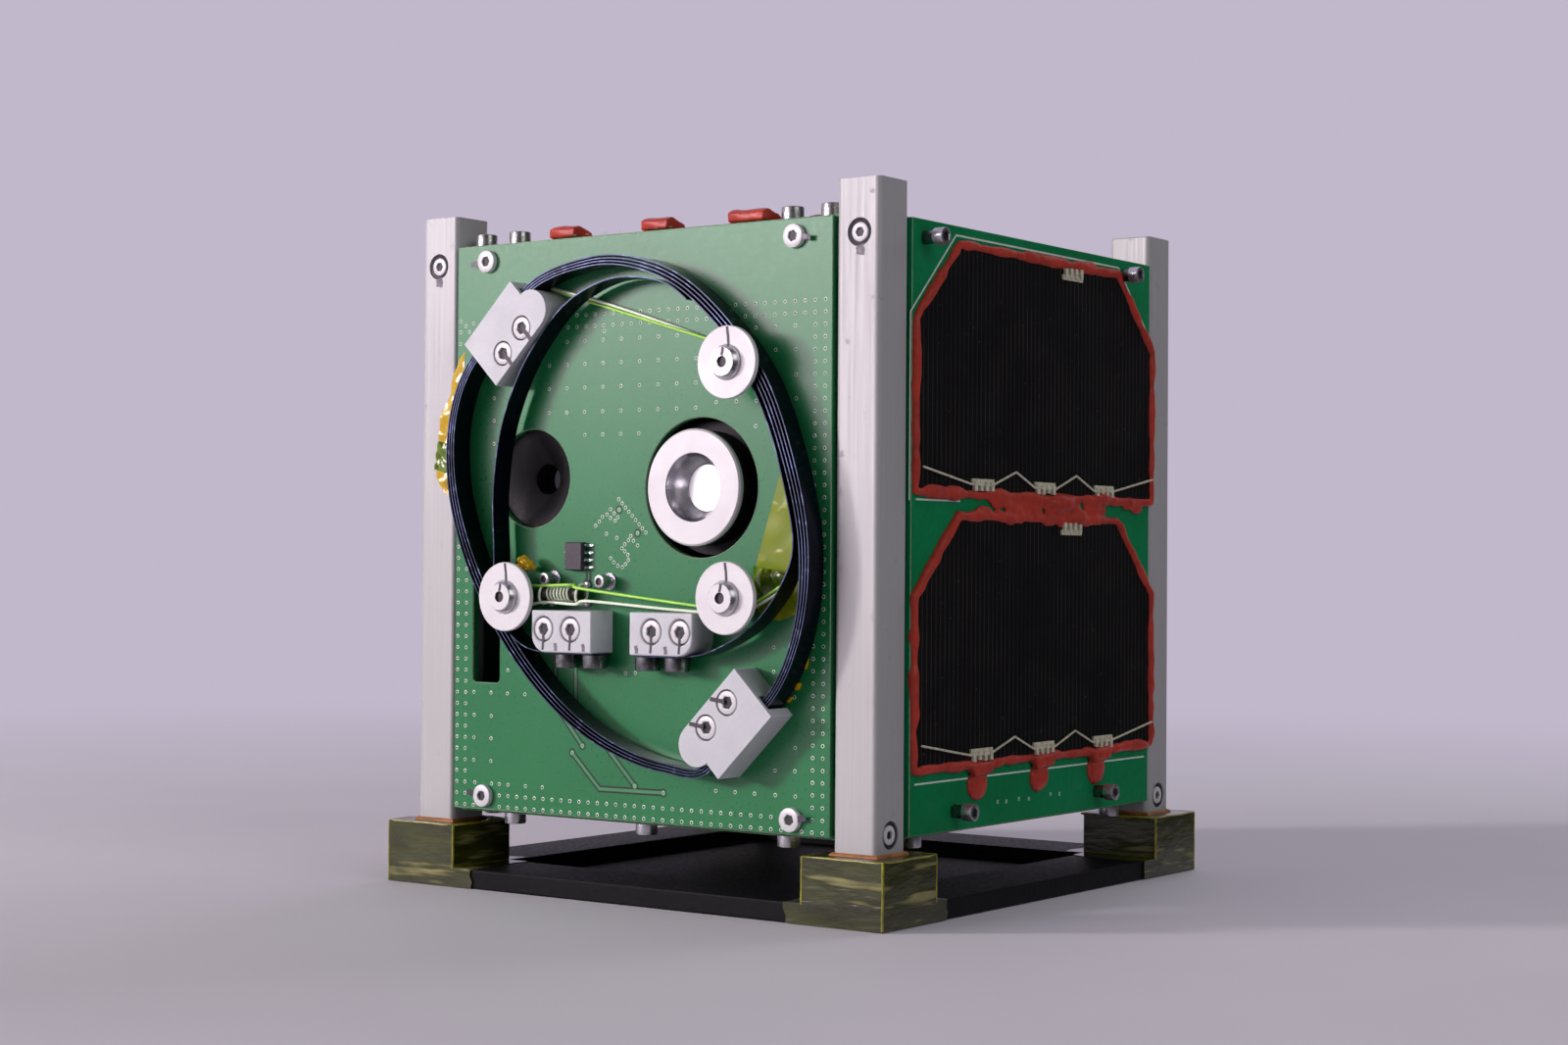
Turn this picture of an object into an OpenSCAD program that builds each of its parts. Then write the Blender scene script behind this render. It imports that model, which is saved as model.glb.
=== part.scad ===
// Cube nanosatellite of one unit on its display stand.
// Millimetres. The origin is the centre of the stand's underside, +Z is up,
// and the antenna face looks along -Y.

/* [Satellite body] */
// Width across the outer faces of the rails
body_w = 100; // [99:0.5:101]
// Length of a rail
rail_len = 113.5; // [112:0.5:115]
// Width of a rail's square section
rail_w = 8.5; // [8.2:0.1:8.8]
// Rounding of a rail's long edges
rail_r = 1; // [0.4:0.1:1.4]
// Height of the two frames that join the rails
frame_h = 7; // [5:0.5:8]
// Side of the square electronics and battery stack
stack_w = 76; // [60:1:76]

/* [Boards] */
// Thickness of every circuit board
board_t = 1.6; // [1.2:0.1:1.8]
// Height of the four side boards
board_h = 100.5; // [99:0.5:101]
// Distance from the satellite's axis to the outer face of a side board
board_face = 50.3; // [50.1:0.1:50.6]

/* [Solar cells] */
// Long side of a cell
cell_w = 80; // [76:0.5:80]
// Short side of a cell
cell_h = 40.2; // [38:0.2:40.4]
// Width of the cropped corners of a cell
cell_crop = 13; // [8:0.5:15]
// Thickness of a cell with its cover glass
cell_t = 0.4; // [0.3:0.1:0.6]

/* [Antennas] */
// Width of an antenna tape, which stands on edge on the board
tape_w = 4.2; // [3.5:0.1:4.4]
// Thickness of an antenna tape
tape_t = 0.2; // [0.15:0.05:0.25]
// Distance from one layer of wound tape to the next
tape_pitch = 0.45; // [0.4:0.01:0.48]
// Height of a clamp block off the board
clamp_t = 6; // [5.8:0.1:6.4]
// Width of a clamp block's bar, with its round nose
clamp_bar = 7.2; // [6.8:0.1:7.4]
// Diameter of the washers on the three line posts
washer_d = 12; // [10:0.5:12.5]
// Diameter of the hold-down lines
line_d = 0.4; // [0.3:0.05:0.5]

/* [Cameras] */
// Diameter of the board's hole in front of the black hood
hood_hole_d = 17.2; // [16:0.1:17.6]
// Diameter of the board's hole round the silver lens ring
ring_hole_d = 23.5; // [22:0.1:24]
// Outer diameter of the silver lens ring
ring_d = 19.6; // [18:0.1:20.5]

/* [Stand] */
// Width of the stand over its taped sockets
stand_w = 107.2; // [106:0.1:108]
// Thickness of the stand's square base
base_t = 3.4; // [3:0.1:4]
// Width of a socket block and of the base's bars
socket_w = 15.4; // [14:0.1:16]
// Height of the socket blocks' tops above the floor
socket_top = 11.1; // [10:0.1:11.1]
// Thickness of the thin floor inside the base
floor_t = 0.8; // [0.6:0.1:1.5]

/* [Hidden] */
$fn = 48;
eps = 0.01;

half_w = body_w / 2;
rail_top = 120;
rail_foot = rail_top - rail_len;
rail_c = half_w - rail_w / 2;            // rail's centre from the axis
rail_in = half_w - rail_w;               // rail's inner face from the axis
board_gap = 0.5;                         // between a board and the rails beside it
board_half = rail_in - board_gap;
board_back = board_face - board_t;
board_z0 = 13.8;
deck_half = board_back - 0.2;            // half width of the top and bottom boards
top_deck_z = 114.6;                      // outer face of the top board
bottom_deck_z = 13.3;                    // outer face of the bottom board
frame_in = 40.5;                         // inner half width of the two frames
stack_gap = 0.5;                         // from the stack to each frame

upper_screw_z = 111.3;                   // screws near the boards' upper edges
lower_screw_z = 16.3;                    // screws near the boards' lower edges
board_screw_x = 33.6;
rail_screw_x = 46;                       // rail screws, from the axis
rail_screw_z = [111.2, 14.5];            // in the front and back faces, then in the side faces

cell_shift = 0.6;                        // the cells sit a little off the board's middle
cell_z = [25.1, 70.4];                   // lower edges of the two cells on a side board
top_cell_y = [-43, 2.4];                 // front edges of the two cells on the top board

hood_at = [-22.9, 72.5];
ring_at = [14.5, 70.5];
hood_depth = 2.8;                        // of the cone behind the board
hood_pupil_r = 2.7;
ring_front = board_face + 2.2;           // distance of the ring's face from the axis
ring_bore_r = [5.8, 4];                  // at the mouth and at the glass
ring_bore_depth = 4;
barrel_front = 47;                       // distance of the black barrel's face from the axis
barrel_back = 40;
slot_at = [-33.45, 46.1];                // middle of the board's long slot
slot_size = [6.3, 19.4];

post_at = [[24.4, 90.7], [-23.6, 51.8], [24.3, 52.2]];
post_r = 1.9;
post_len = 5.4;
washer_t = 0.9;
post_head = [3, 2.7, 1.4];               // a post screw's head: lower and upper radius, height

clamp_turn = 45;                         // the two outer clamps lie at this angle
clamp_centre_z = 64.7;                   // height of the point that they are turned about
clamp_corner = [26.2, 40.8];             // upper corner of the lower right clamp
clamp_foot = 3.4;                        // width of the clamp's foot beside the tape
clamp_len = 15;                          // length to the foot's end
clamp_nose_u = 14.5;                     // middle of the nose's round
tunnel_v = 7.6;                          // middle of the tape groove, from the clamp's inner edge
tunnel_w = 2.8;
tunnel_wall = 0.8;                       // of the clamp in front of the groove
clamp_screw_uv = [[5, 2.9], [11, 2.9]];
mid_x = [4.2, 17.5];                     // ends of a middle clamp, from the axis
mid_z = [42.4, 49.6];
mid_r = 3;
mid_screw_x = [8.85, 14.85];
mid_screw_z = 46.4;
tape_screw_x = [5.8, 12];

tape_back = board_face + 0.8;            // distance of a tape's inner edge from the axis
clamp_face = board_face + clamp_t;
cap = [1.9, 1.8];                        // radius and height of a small cap screw's head
rail_head_r = 1.65;                      // head of a rail screw
rail_bore_r = 2.3;                       // recess round it
rail_seat = half_w - cap[1] + 0.5;       // floor of the recess, from the axis
pocket_gap = 0.2;                        // play of a rail's foot in the stand
barrel_r = 11.2;
resistor_out = 2.3;                      // middle of the resistor, off the board

// ---------- placing ----------

// Puts a shape drawn in x and z on a side face: 0 is the front, 90 the right,
// 180 the back and 270 the left.
module on_face(turn) rotate([90, 0, turn]) children();

// Places a shape at a height off the axis on a side face.
module face_at(turn, x, z, out) on_face(turn) translate([x, z, out]) children();

// ---------- outlines ----------

function arc(c, r, a0, a1, n = 6) = [
    for (i = [0:n])
        let (a = a0 + (a1 - a0) * i / n)
        c + r * [cos(a), sin(a)]];

function rounded(w, h, r) = concat(
    arc([w / 2 - r, h / 2 - r], r, 0, 90), arc([-w / 2 + r, h / 2 - r], r, 90, 180),
    arc([-w / 2 + r, -h / 2 + r], r, 180, 270), arc([w / 2 - r, -h / 2 + r], r, 270, 360));

function unit(v) = v / norm(v);
function left_of(v) = [-v[1], v[0]];

// A cubic from p to q that leaves along m and arrives along n.
function hermite(p, q, m, n, t) =
    (2 * t ^ 3 - 3 * t ^ 2 + 1) * p + (t ^ 3 - 2 * t ^ 2 + t) * m
    + (3 * t ^ 2 - 2 * t ^ 3) * q + (t ^ 3 - t ^ 2) * n;

// A smooth curve through the points, with the given directions at its two ends.
function smooth(p, first, last, steps = 6) = let (
    n = len(p) - 1,
    m = [for (i = [0:n]) i == 0 ? first : i == n ? last : (p[i + 1] - p[i - 1]) / 2]
) concat(
        [for (i = [0:n - 1]) for (k = [0:steps - 1])
            hermite(p[i], p[i + 1], m[i], m[i + 1], k / steps)],
        [p[n]]);

function side_of(p, i) = left_of(unit(p[min(i + 1, len(p) - 1)] - p[max(i - 1, 0)]));

// The outline of a strip of thickness t along an open curve.
function strip(p, t) = concat(
    [for (i = [0:len(p) - 1]) p[i] + side_of(p, i) * t / 2],
    [for (i = [len(p) - 1:-1:0]) p[i] - side_of(p, i) * t / 2]);

// ---------- small parts ----------

// A socket head on z = 0 with its hexagonal socket.
module socket_head(r, h, socket = 1.7) difference() {
    cylinder(r = r, h = h);
    translate([0, 0, h * 0.45]) cylinder(d = socket, h = h, $fn = 6);
}

// A square-cornered plate with a notch for each rail.
module deck() linear_extrude(board_t) union() {
    square([2 * board_half, 2 * deck_half], center = true);
    square([2 * deck_half, 2 * board_half], center = true);
}

// ---------- stand ----------

module stand_base() color("#26242c") difference() {
    linear_extrude(base_t) square(stand_w - 0.4, center = true);
    translate([0, 0, floor_t]) linear_extrude(base_t) square(stand_w - 2 * socket_w, center = true);
}

module stand_sockets() color("#5b5a1f") for (sx = [-1, 1], sy = [-1, 1])
    difference() {
        translate([sx * (stand_w - socket_w) / 2, sy * (stand_w - socket_w) / 2, base_t])
            linear_extrude(socket_top - base_t) square(socket_w, center = true);
        translate([sx * rail_c, sy * rail_c, rail_foot])
            linear_extrude(socket_top) square(rail_w + pocket_gap, center = true);
    }

// ---------- rails and frames ----------

// One rail, with the counterbores of its two screws in the outer faces.
module rail(sx, sy) color("#d9d2dc") difference() {
    translate([sx * rail_c, sy * rail_c, rail_foot])
        linear_extrude(rail_len) polygon(rounded(rail_w, rail_w, rail_r));
    face_at(sy < 0 ? 0 : 180, (sy < 0 ? sx : -sx) * rail_screw_x, rail_screw_z[0], rail_seat)
        cylinder(r = rail_bore_r, h = 3);
    face_at(sx < 0 ? 270 : 90, (sx < 0 ? -sy : sy) * rail_screw_x, rail_screw_z[1], rail_seat)
        cylinder(r = rail_bore_r, h = 3);
}

module rail_front_left() rail(-1, -1);
module rail_front_right() rail(1, -1);
module rail_back_left() rail(-1, 1);
module rail_back_right() rail(1, 1);

module rail_screws() color("#c9c9c9") {
    for (turn = [0, 180], s = [-1, 1])
        face_at(turn, s * rail_screw_x, rail_screw_z[0], rail_seat) socket_head(rail_head_r, cap[1] - 0.6);
    for (turn = [90, 270], s = [-1, 1])
        face_at(turn, s * rail_screw_x, rail_screw_z[1], rail_seat) socket_head(rail_head_r, cap[1] - 0.6);
}

// A square ring between the decks, notched round the rails.
module frame_ring() color("#a8a8ac") linear_extrude(frame_h) difference() {
    square(2 * board_back, center = true);
    square(2 * frame_in, center = true);
    for (sx = [-1, 1], sy = [-1, 1])
        translate([sx * half_w, sy * half_w]) square(2 * rail_w, center = true);
}

module top_frame() translate([0, 0, top_deck_z - board_t - frame_h]) frame_ring();
module bottom_frame() translate([0, 0, bottom_deck_z + board_t]) frame_ring();

module inner_stack() color("#3c4048") let (
    z0 = bottom_deck_z + board_t + frame_h + stack_gap,
    z1 = top_deck_z - board_t - frame_h - stack_gap
) translate([0, 0, z0]) linear_extrude(z1 - z0) square(stack_w, center = true);

// ---------- boards ----------

module side_board(turn) on_face(turn)
    translate([-board_half, board_z0, board_back]) cube([2 * board_half, board_h, board_t]);

module antenna_board() color("#3f8f62") difference() {
    side_board(0);
    face_at(0, hood_at[0], hood_at[1], board_back - 1)
        cylinder(d = hood_hole_d, h = board_t + 2, $fn = 96);
    face_at(0, ring_at[0], ring_at[1], board_back - 1)
        cylinder(d = ring_hole_d, h = board_t + 2, $fn = 96);
    face_at(0, slot_at[0], slot_at[1], board_back - 1)
        linear_extrude(board_t + 2) polygon(rounded(slot_size[0], slot_size[1], 0.8));
}

module solar_board_right() color("#14633f") side_board(90);
module solar_board_back() color("#14633f") side_board(180);
module solar_board_left() color("#14633f") side_board(270);
module top_board() color("#14633f") translate([0, 0, top_deck_z - board_t]) deck();
module bottom_board() color("#14633f") translate([0, 0, bottom_deck_z]) deck();

// ---------- solar cells ----------

// One cell standing on its long edge, with its two upper corners cropped.
module cell() linear_extrude(cell_t) polygon([
    [-cell_w / 2, 0], [cell_w / 2, 0], [cell_w / 2, cell_h - cell_crop], [cell_w / 2 - cell_crop, cell_h],
    [cell_crop - cell_w / 2, cell_h], [-cell_w / 2, cell_h - cell_crop]
]);

module side_cells(turn) color("#1d1b1d") for (z = cell_z) face_at(turn, cell_shift, z, board_face) cell();

module solar_cells_right() side_cells(90);
module solar_cells_back() side_cells(180);
module solar_cells_left() side_cells(270);
module solar_cells_top() color("#1d1b1d")
    for (y = top_cell_y) translate([cell_shift, y, top_deck_z]) cell();

// ---------- cameras ----------

module camera_hood() color("#141316") face_at(0, hood_at[0], hood_at[1], 0) difference() {
    translate([0, 0, barrel_back]) cylinder(d = hood_hole_d + 0.6, h = board_back - barrel_back);
    translate([0, 0, board_back - hood_depth])
        cylinder(r1 = hood_pupil_r, r2 = hood_hole_d / 2 - 0.3, h = hood_depth + eps);
    translate([0, 0, barrel_back + 2]) cylinder(r = hood_pupil_r, h = 10);
}

module camera_glass() color("#0c0c10") face_at(0, hood_at[0], hood_at[1], barrel_back + 2)
    cylinder(r = hood_pupil_r, h = 1.5);

module lens_barrel() color("#141316") face_at(0, ring_at[0], ring_at[1], barrel_back)
    cylinder(r = barrel_r, h = barrel_front - barrel_back);

module lens_ring() color("#e6e2e8") face_at(0, ring_at[0], ring_at[1], barrel_front) difference() {
    let (h = ring_front - barrel_front, c = 0.5) union() {
        cylinder(d = ring_d, h = h - c);
        translate([0, 0, h - c]) cylinder(d1 = ring_d, d2 = ring_d - 2 * c, h = c);
    }
    translate([0, 0, ring_front - barrel_front - ring_bore_depth])
        cylinder(r1 = ring_bore_r[1], r2 = ring_bore_r[0], h = ring_bore_depth + eps);
    translate([0, 0, -1]) cylinder(r = ring_bore_r[1], h = 10 - ring_bore_depth);
}

module lens_glass() color("#eef2f6") face_at(0, ring_at[0], ring_at[1], barrel_front)
    cylinder(r = ring_bore_r[1], h = ring_front - barrel_front - ring_bore_depth);

// ---------- clamps ----------

// A clamp block in its own frame: u runs towards its nose, v across to its foot and z off the board.
module clamp_block() difference() {
    linear_extrude(clamp_t) polygon(concat(
        [[0, 0], [0, clamp_bar + clamp_foot], [clamp_len, clamp_bar + clamp_foot], [clamp_len, clamp_bar]],
        arc([clamp_nose_u, clamp_bar / 2], clamp_bar / 2, 90, -90, 16)));
    translate([-1, tunnel_v - tunnel_w / 2, -1])
        cube([clamp_len + 5, tunnel_w, clamp_t - tunnel_wall + 1]);
    for (s = clamp_screw_uv) translate([s[0], s[1], clamp_t - 2]) cylinder(r = 2.2, h = 3);
}

// Turns the clamp's own frame onto the board at the lower right.
module at_lower_right() face_at(0, clamp_corner[0], clamp_corner[1], board_face)
    rotate([0, 0, -90 - clamp_turn]) children();

// The upper left clamp is the lower right one turned half round.
module at_upper_left() face_at(0, 0, 2 * clamp_centre_z, 0)
    rotate([0, 0, 180]) rotate([-90, 0, 0]) at_lower_right() children();

module clamp_lower_right() color("#d4d0dc") at_lower_right() clamp_block();
module clamp_upper_left() color("#d4d0dc") at_upper_left() clamp_block();

// A middle clamp, on the side s of the axis, with its outer lower corner rounded.
module mid_clamp(s) color("#d4d0dc") on_face(0) translate([0, 0, board_face]) difference() {
    linear_extrude(clamp_t) polygon(concat(
        [for (p = arc([mid_x[1] - mid_r, mid_z[0] + mid_r], mid_r, 0, -90, 8)) [s * p[0], p[1]]],
        [[s * mid_x[0], mid_z[0]], [s * mid_x[0], mid_z[1]], [s * mid_x[1], mid_z[1]]]));
    for (x = mid_screw_x) translate([s * x, mid_screw_z, clamp_t - 2]) cylinder(r = 2.2, h = 3);
}

module clamp_mid_left() mid_clamp(-1);
module clamp_mid_right() mid_clamp(1);

module clamp_heads() for (s = clamp_screw_uv)
    translate([s[0], s[1], clamp_t - 2]) socket_head(cap[0], cap[1]);

module clamp_screws() color("#cfcfd2") {
    at_lower_right() clamp_heads();
    at_upper_left() clamp_heads();
    for (s = [-1, 1], x = mid_screw_x)
        face_at(0, s * x, mid_screw_z, clamp_face - 2) socket_head(cap[0], cap[1]);
}

// The screws that press the two short tapes against the middle clamps from below.
module tape_screws() color("#b9b9bd") for (s = [-1, 1], x = tape_screw_x)
    translate([s * x, -(tape_back + tape_w / 2), mid_z[0] - 0.35])
        rotate([180, 0, 0]) socket_head(2.25, 2.3, 2.2);

// ---------- line posts ----------

module line_posts() color("#b9b9bd")
    for (p = post_at) face_at(0, p[0], p[1], board_face) cylinder(r = post_r, h = post_len);

module post_washers() color("#e2dce2")
    for (p = post_at) face_at(0, p[0], p[1], board_face + post_len)
        cylinder(d = washer_d, h = washer_t, $fn = 96);

module post_screws() color("#d8d4da") for (p = post_at)
    face_at(0, p[0], p[1], board_face + post_len + washer_t) difference() {
        cylinder(r1 = post_head[0], r2 = post_head[1], h = post_head[2]);
        translate([0, 0, post_head[2] - 1]) cylinder(d = 2.2, h = 2, $fn = 6);
    }

// ---------- antenna tapes ----------

// The way round the antenna face, clockwise: over the top from the upper left clamp to
// the lower right one, then back along the bottom. The tapes run straight through the grooves of the two clamps.
groove_in = clamp_corner + tunnel_v * [cos(clamp_turn), -sin(clamp_turn)];
groove_out = groove_in - clamp_len * [cos(clamp_turn), sin(clamp_turn)];
function half_turn(p) = [-p[0], 2 * clamp_centre_z - p[1]];
over_top = [
    half_turn(groove_out), [-6.5, 109.3], [6.7, 107.8], [18, 101.6],
    [29.5, 89.2], [35.8, 75], [39, 60.5], [37.6, 46.5], groove_in
];
under_bottom = [
    groove_out, [10.6, 23.7], [-2.5, 27.4], [-14.2, 34.6],
    [-24.9, 45.5], [-32.9, 58.2], [-37.3, 71.4], [-37, 84], half_turn(groove_in)
];
along_groove = 13 * [cos(clamp_turn), sin(clamp_turn)];
way = concat(
    smooth(over_top, along_groove, -along_groove),
    smooth(under_bottom, -along_groove, along_groove));
way_half = len(way) / 2;

// Outward direction of the way at its point i, and the point at a distance outside it.
function way_out(i) = let (n = len(way)) left_of(unit(way[(i + 1) % n] - way[(i + n - 1) % n]));
function way_at(i, out) = way[i % len(way)] + way_out(i % len(way)) * out;

// A long tape starts and ends inside its clamp and winds round twice, a layer further out each half turn.
function clamp_middle(start) = let (n = len(way)) (way[(start + n - 1) % n] + way[start]) / 2;
function long_tape(start) = let (n = len(way)) concat(
    [clamp_middle(start) - way_out(start) * 2 * tape_pitch],
    [for (i = [0:2 * n - 1]) way_at(start + i, (2 * i / n - 2) * tape_pitch)],
    [clamp_middle(start) + way_out(start) * 2 * tape_pitch]);

// The short tapes leave the middle clamps from below and join the inside of the wound tapes.
knot = 6;                                // points of the way from one of its hand-set points to the next
inside = -2.7 * tape_pitch;
left_run = concat([
    [-4.6, 42.25], [-10, 42.25], [-15, 42.32], [-20.4, 43.4], [-24.8, 46.9],
    [-27, 52.4], [-27.3, 60], [-27.6, 70], [-26, 80.8], [-22, 90.2],
    [-16.8, 97.2], [-11.2, 102.3], [-4.4, 105.3], [2, 106.1]
], [way_at(2 * knot + 2, inside), way_at(3 * knot - 1, inside)]);
right_run = concat([
    [4.6, 42.25], [10, 42.25], [15, 42.32], [20.6, 43.4], [28.6, 47.5], [34.4, 54], [37, 61.5]
], [way_at(5 * knot, inside), way_at(4 * knot + 3, inside), way_at(4 * knot, inside)]);

module tape(points) color("#1b2233") on_face(0)
    translate([0, 0, tape_back]) linear_extrude(tape_w) polygon(strip(points, tape_t));

module antenna_tape_upper() tape(long_tape(0));
module antenna_tape_lower() tape(long_tape(way_half));
module antenna_tape_left() tape(smooth(left_run, [-6, 0], [5, -4]));
module antenna_tape_right() tape(smooth(right_run, [6, 0], [-3, 5]));

// ---------- line cutter ----------

resistor_at = [-13.9, 52.4];
resistor_size = [8.6, 1.25];             // length and radius
terminal_at = [[-17.5, 54.9], [-5, 54.6]];
chip_at = [-12, 58.9];
chip_size = [3.9, 4.9, 1.5];
lead_span = 6;

module cutter_resistor() color("#2b2723")
    face_at(0, resistor_at[0] - resistor_size[0] / 2, resistor_at[1], board_face + resistor_out)
    rotate([0, 90, 0]) cylinder(r = resistor_size[1], h = resistor_size[0]);

module terminal_screws() color("#8e8a86") for (p = terminal_at) face_at(0, p[0], p[1], board_face) {
    cylinder(r = 1, h = 1.4);
    translate([0, 0, 1.4]) socket_head(1.2, 1.7, 1.3);
}

module driver_chip() color("#38333b") face_at(0, chip_at[0], chip_at[1], board_face) {
    translate([-chip_size[0] / 2, -chip_size[1] / 2, 0.15]) cube(chip_size);
    for (i = [0:3]) translate([-lead_span / 2, (i - 1.5) * 1.27 - 0.2, 0]) cube([lead_span, 0.4, 0.5]);
}

// ---------- hold-down lines ----------

// A thin round line through the points, with its ends closed. A ring of 8 points stands at each point.
sides = 8;
function ring_frame(p, i) = let (
    d = unit(p[min(i + 1, len(p) - 1)] - p[max(i - 1, 0)]), a = unit(cross(d, [0.3, 1, 0.2]))
) [a, cross(d, a)];

module line(p, r) let (n = len(p)) polyhedron(
    points = [for (i = [0:n - 1]) let (f = ring_frame(p, i)) for (k = [0:sides - 1])
        p[i] + r * (cos(360 * k / sides) * f[0] + sin(360 * k / sides) * f[1])],
    faces = concat([[for (k = [0:sides - 1]) k]], [[for (k = [0:sides - 1]) n * sides - 1 - k]],
        [for (i = [0:n - 2]) for (k = [0:sides - 1]) [
            i * sides + k, (i + 1) * sides + k,
            (i + 1) * sides + (k + 1) % sides, i * sides + (k + 1) % sides]]));

// A route in x and z at a distance y in front of the axis.
function route(p, y) = [for (q = p) [q[0], -y, q[1]]];
low_line_y = board_face + 3.5;
high_line_y = board_face + 0.4;
loop_r = post_r + line_d / 2 + 0.05;
upper_line = concat([[-19, 105.7]], arc(post_at[0], loop_r, 75, -100, 10));
cutter_line = concat(
    [[33.6, 53.4]], arc(post_at[2], loop_r + line_d + 0.05, 296, 262, 2),
    [[11.5, 50.4], [-4.3, 51.4], [-8.6, 51.4], [-10, 50.75], [-17.4, 50.9]],
    arc(post_at[1], loop_r, 285, 80, 10), [[-17, 54], [-10, 54.1], [-8.6, 53.4], [11.5, 51.2]],
    arc(post_at[2], loop_r, 262, 294, 2), [[33.9, 54]]
);

module hold_down_lines() color("#cfe68a") {
    line(route(upper_line, high_line_y), line_d / 2);
    line(route(cutter_line, low_line_y), line_d / 2);
}

// ---------- screws round the body ----------

side_screw_at = [[-37.3, upper_screw_z], [29.6, upper_screw_z], [-27.4, 17], [21, 17]];
deck_screw_out = 46;

module board_screws() color("#dcdce0")
    for (x = [-board_screw_x, board_screw_x], z = [lower_screw_z, upper_screw_z])
        face_at(0, x, z, board_face) socket_head(2, 0.9, 1.5);

// The side boards' long screws stand off the board on spacers.
module side_screws() color("#b9b9bd")
    for (turn = [90, 180, 270], p = side_screw_at) face_at(turn, p[0], p[1], board_face) {
        cylinder(r = 1.15, h = 2.2);
        translate([0, 0, 2.2]) socket_head(1.45, 2, 1.5);
    }

module top_screws() color("#cfcfd2") for (sx = [-1, 1], sy = [-1, 1], x = [30, 38])
    translate([sx * x, sy * deck_screw_out, top_deck_z]) socket_head(cap[0], 2.2);

module bottom_screws() color("#cfcfd2") {
    for (sy = [-1, 1], x = [-30, 0, 30])
        translate([x, sy * deck_screw_out, bottom_deck_z]) rotate([180, 0, 0]) socket_head(cap[0], 2);
    for (sx = [-1, 1], y = [-34, 34])
        translate([sx * deck_screw_out, y, bottom_deck_z]) rotate([180, 0, 0]) socket_head(cap[0], 2);
}

stand_base();
stand_sockets();
rail_front_left();
rail_front_right();
rail_back_left();
rail_back_right();
rail_screws();
top_frame();
bottom_frame();
inner_stack();
antenna_board();
solar_board_right();
solar_board_back();
solar_board_left();
top_board();
bottom_board();
solar_cells_right();
solar_cells_back();
solar_cells_left();
solar_cells_top();
camera_hood();
camera_glass();
lens_barrel();
lens_ring();
lens_glass();
clamp_upper_left();
clamp_lower_right();
clamp_mid_left();
clamp_mid_right();
clamp_screws();
tape_screws();
line_posts();
post_washers();
post_screws();
antenna_tape_upper();
antenna_tape_lower();
antenna_tape_left();
antenna_tape_right();
cutter_resistor();
terminal_screws();
driver_chip();
hold_down_lines();
board_screws();
side_screws();
top_screws();
bottom_screws();
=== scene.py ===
import math
import random

import bmesh
import bpy
from mathutils import Matrix, Vector, noise


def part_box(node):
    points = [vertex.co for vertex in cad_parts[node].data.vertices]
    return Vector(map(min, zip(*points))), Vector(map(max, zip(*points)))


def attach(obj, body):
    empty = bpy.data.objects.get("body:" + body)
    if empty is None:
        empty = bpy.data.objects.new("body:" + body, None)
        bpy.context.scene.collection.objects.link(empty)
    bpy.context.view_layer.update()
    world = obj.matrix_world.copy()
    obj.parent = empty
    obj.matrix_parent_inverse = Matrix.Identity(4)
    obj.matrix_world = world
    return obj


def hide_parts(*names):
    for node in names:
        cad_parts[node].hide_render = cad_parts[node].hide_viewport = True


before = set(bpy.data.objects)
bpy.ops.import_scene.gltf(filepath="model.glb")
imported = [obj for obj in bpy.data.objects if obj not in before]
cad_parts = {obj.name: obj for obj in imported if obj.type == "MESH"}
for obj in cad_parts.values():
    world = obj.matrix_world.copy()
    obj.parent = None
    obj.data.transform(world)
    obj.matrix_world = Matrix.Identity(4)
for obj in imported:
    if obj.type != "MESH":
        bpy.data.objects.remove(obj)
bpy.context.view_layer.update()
mm = 0.001
body = "root"
scene = bpy.context.scene
scene.view_settings.view_transform = "Standard"


def toLinear(hexColour):
    channels = [int(hexColour[i:i + 2], 16) / 255 for i in (1, 3, 5)]
    return (*[c / 12.92 if c <= 0.04045 else ((c + 0.055) / 1.055) ** 2.4 for c in channels], 1.0)


# An input is a value, a socket, or a node that stands for its first output.
def setInputs(tree, node, inputs):
    for key, value in inputs.items():
        if isinstance(value, bpy.types.Node):
            value = value.outputs[0]
        if isinstance(value, bpy.types.NodeSocket):
            tree.links.new(value, node.inputs[key])
        elif value is not None:
            node.inputs[key].default_value = value


def addNode(tree, kind, inputs=None, **settings):
    node = tree.nodes.new(kind if "Node" in kind else "ShaderNode" + kind)
    for name, value in settings.items():
        setattr(node, name, value)
    setInputs(tree, node, inputs or {})
    return node


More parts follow.
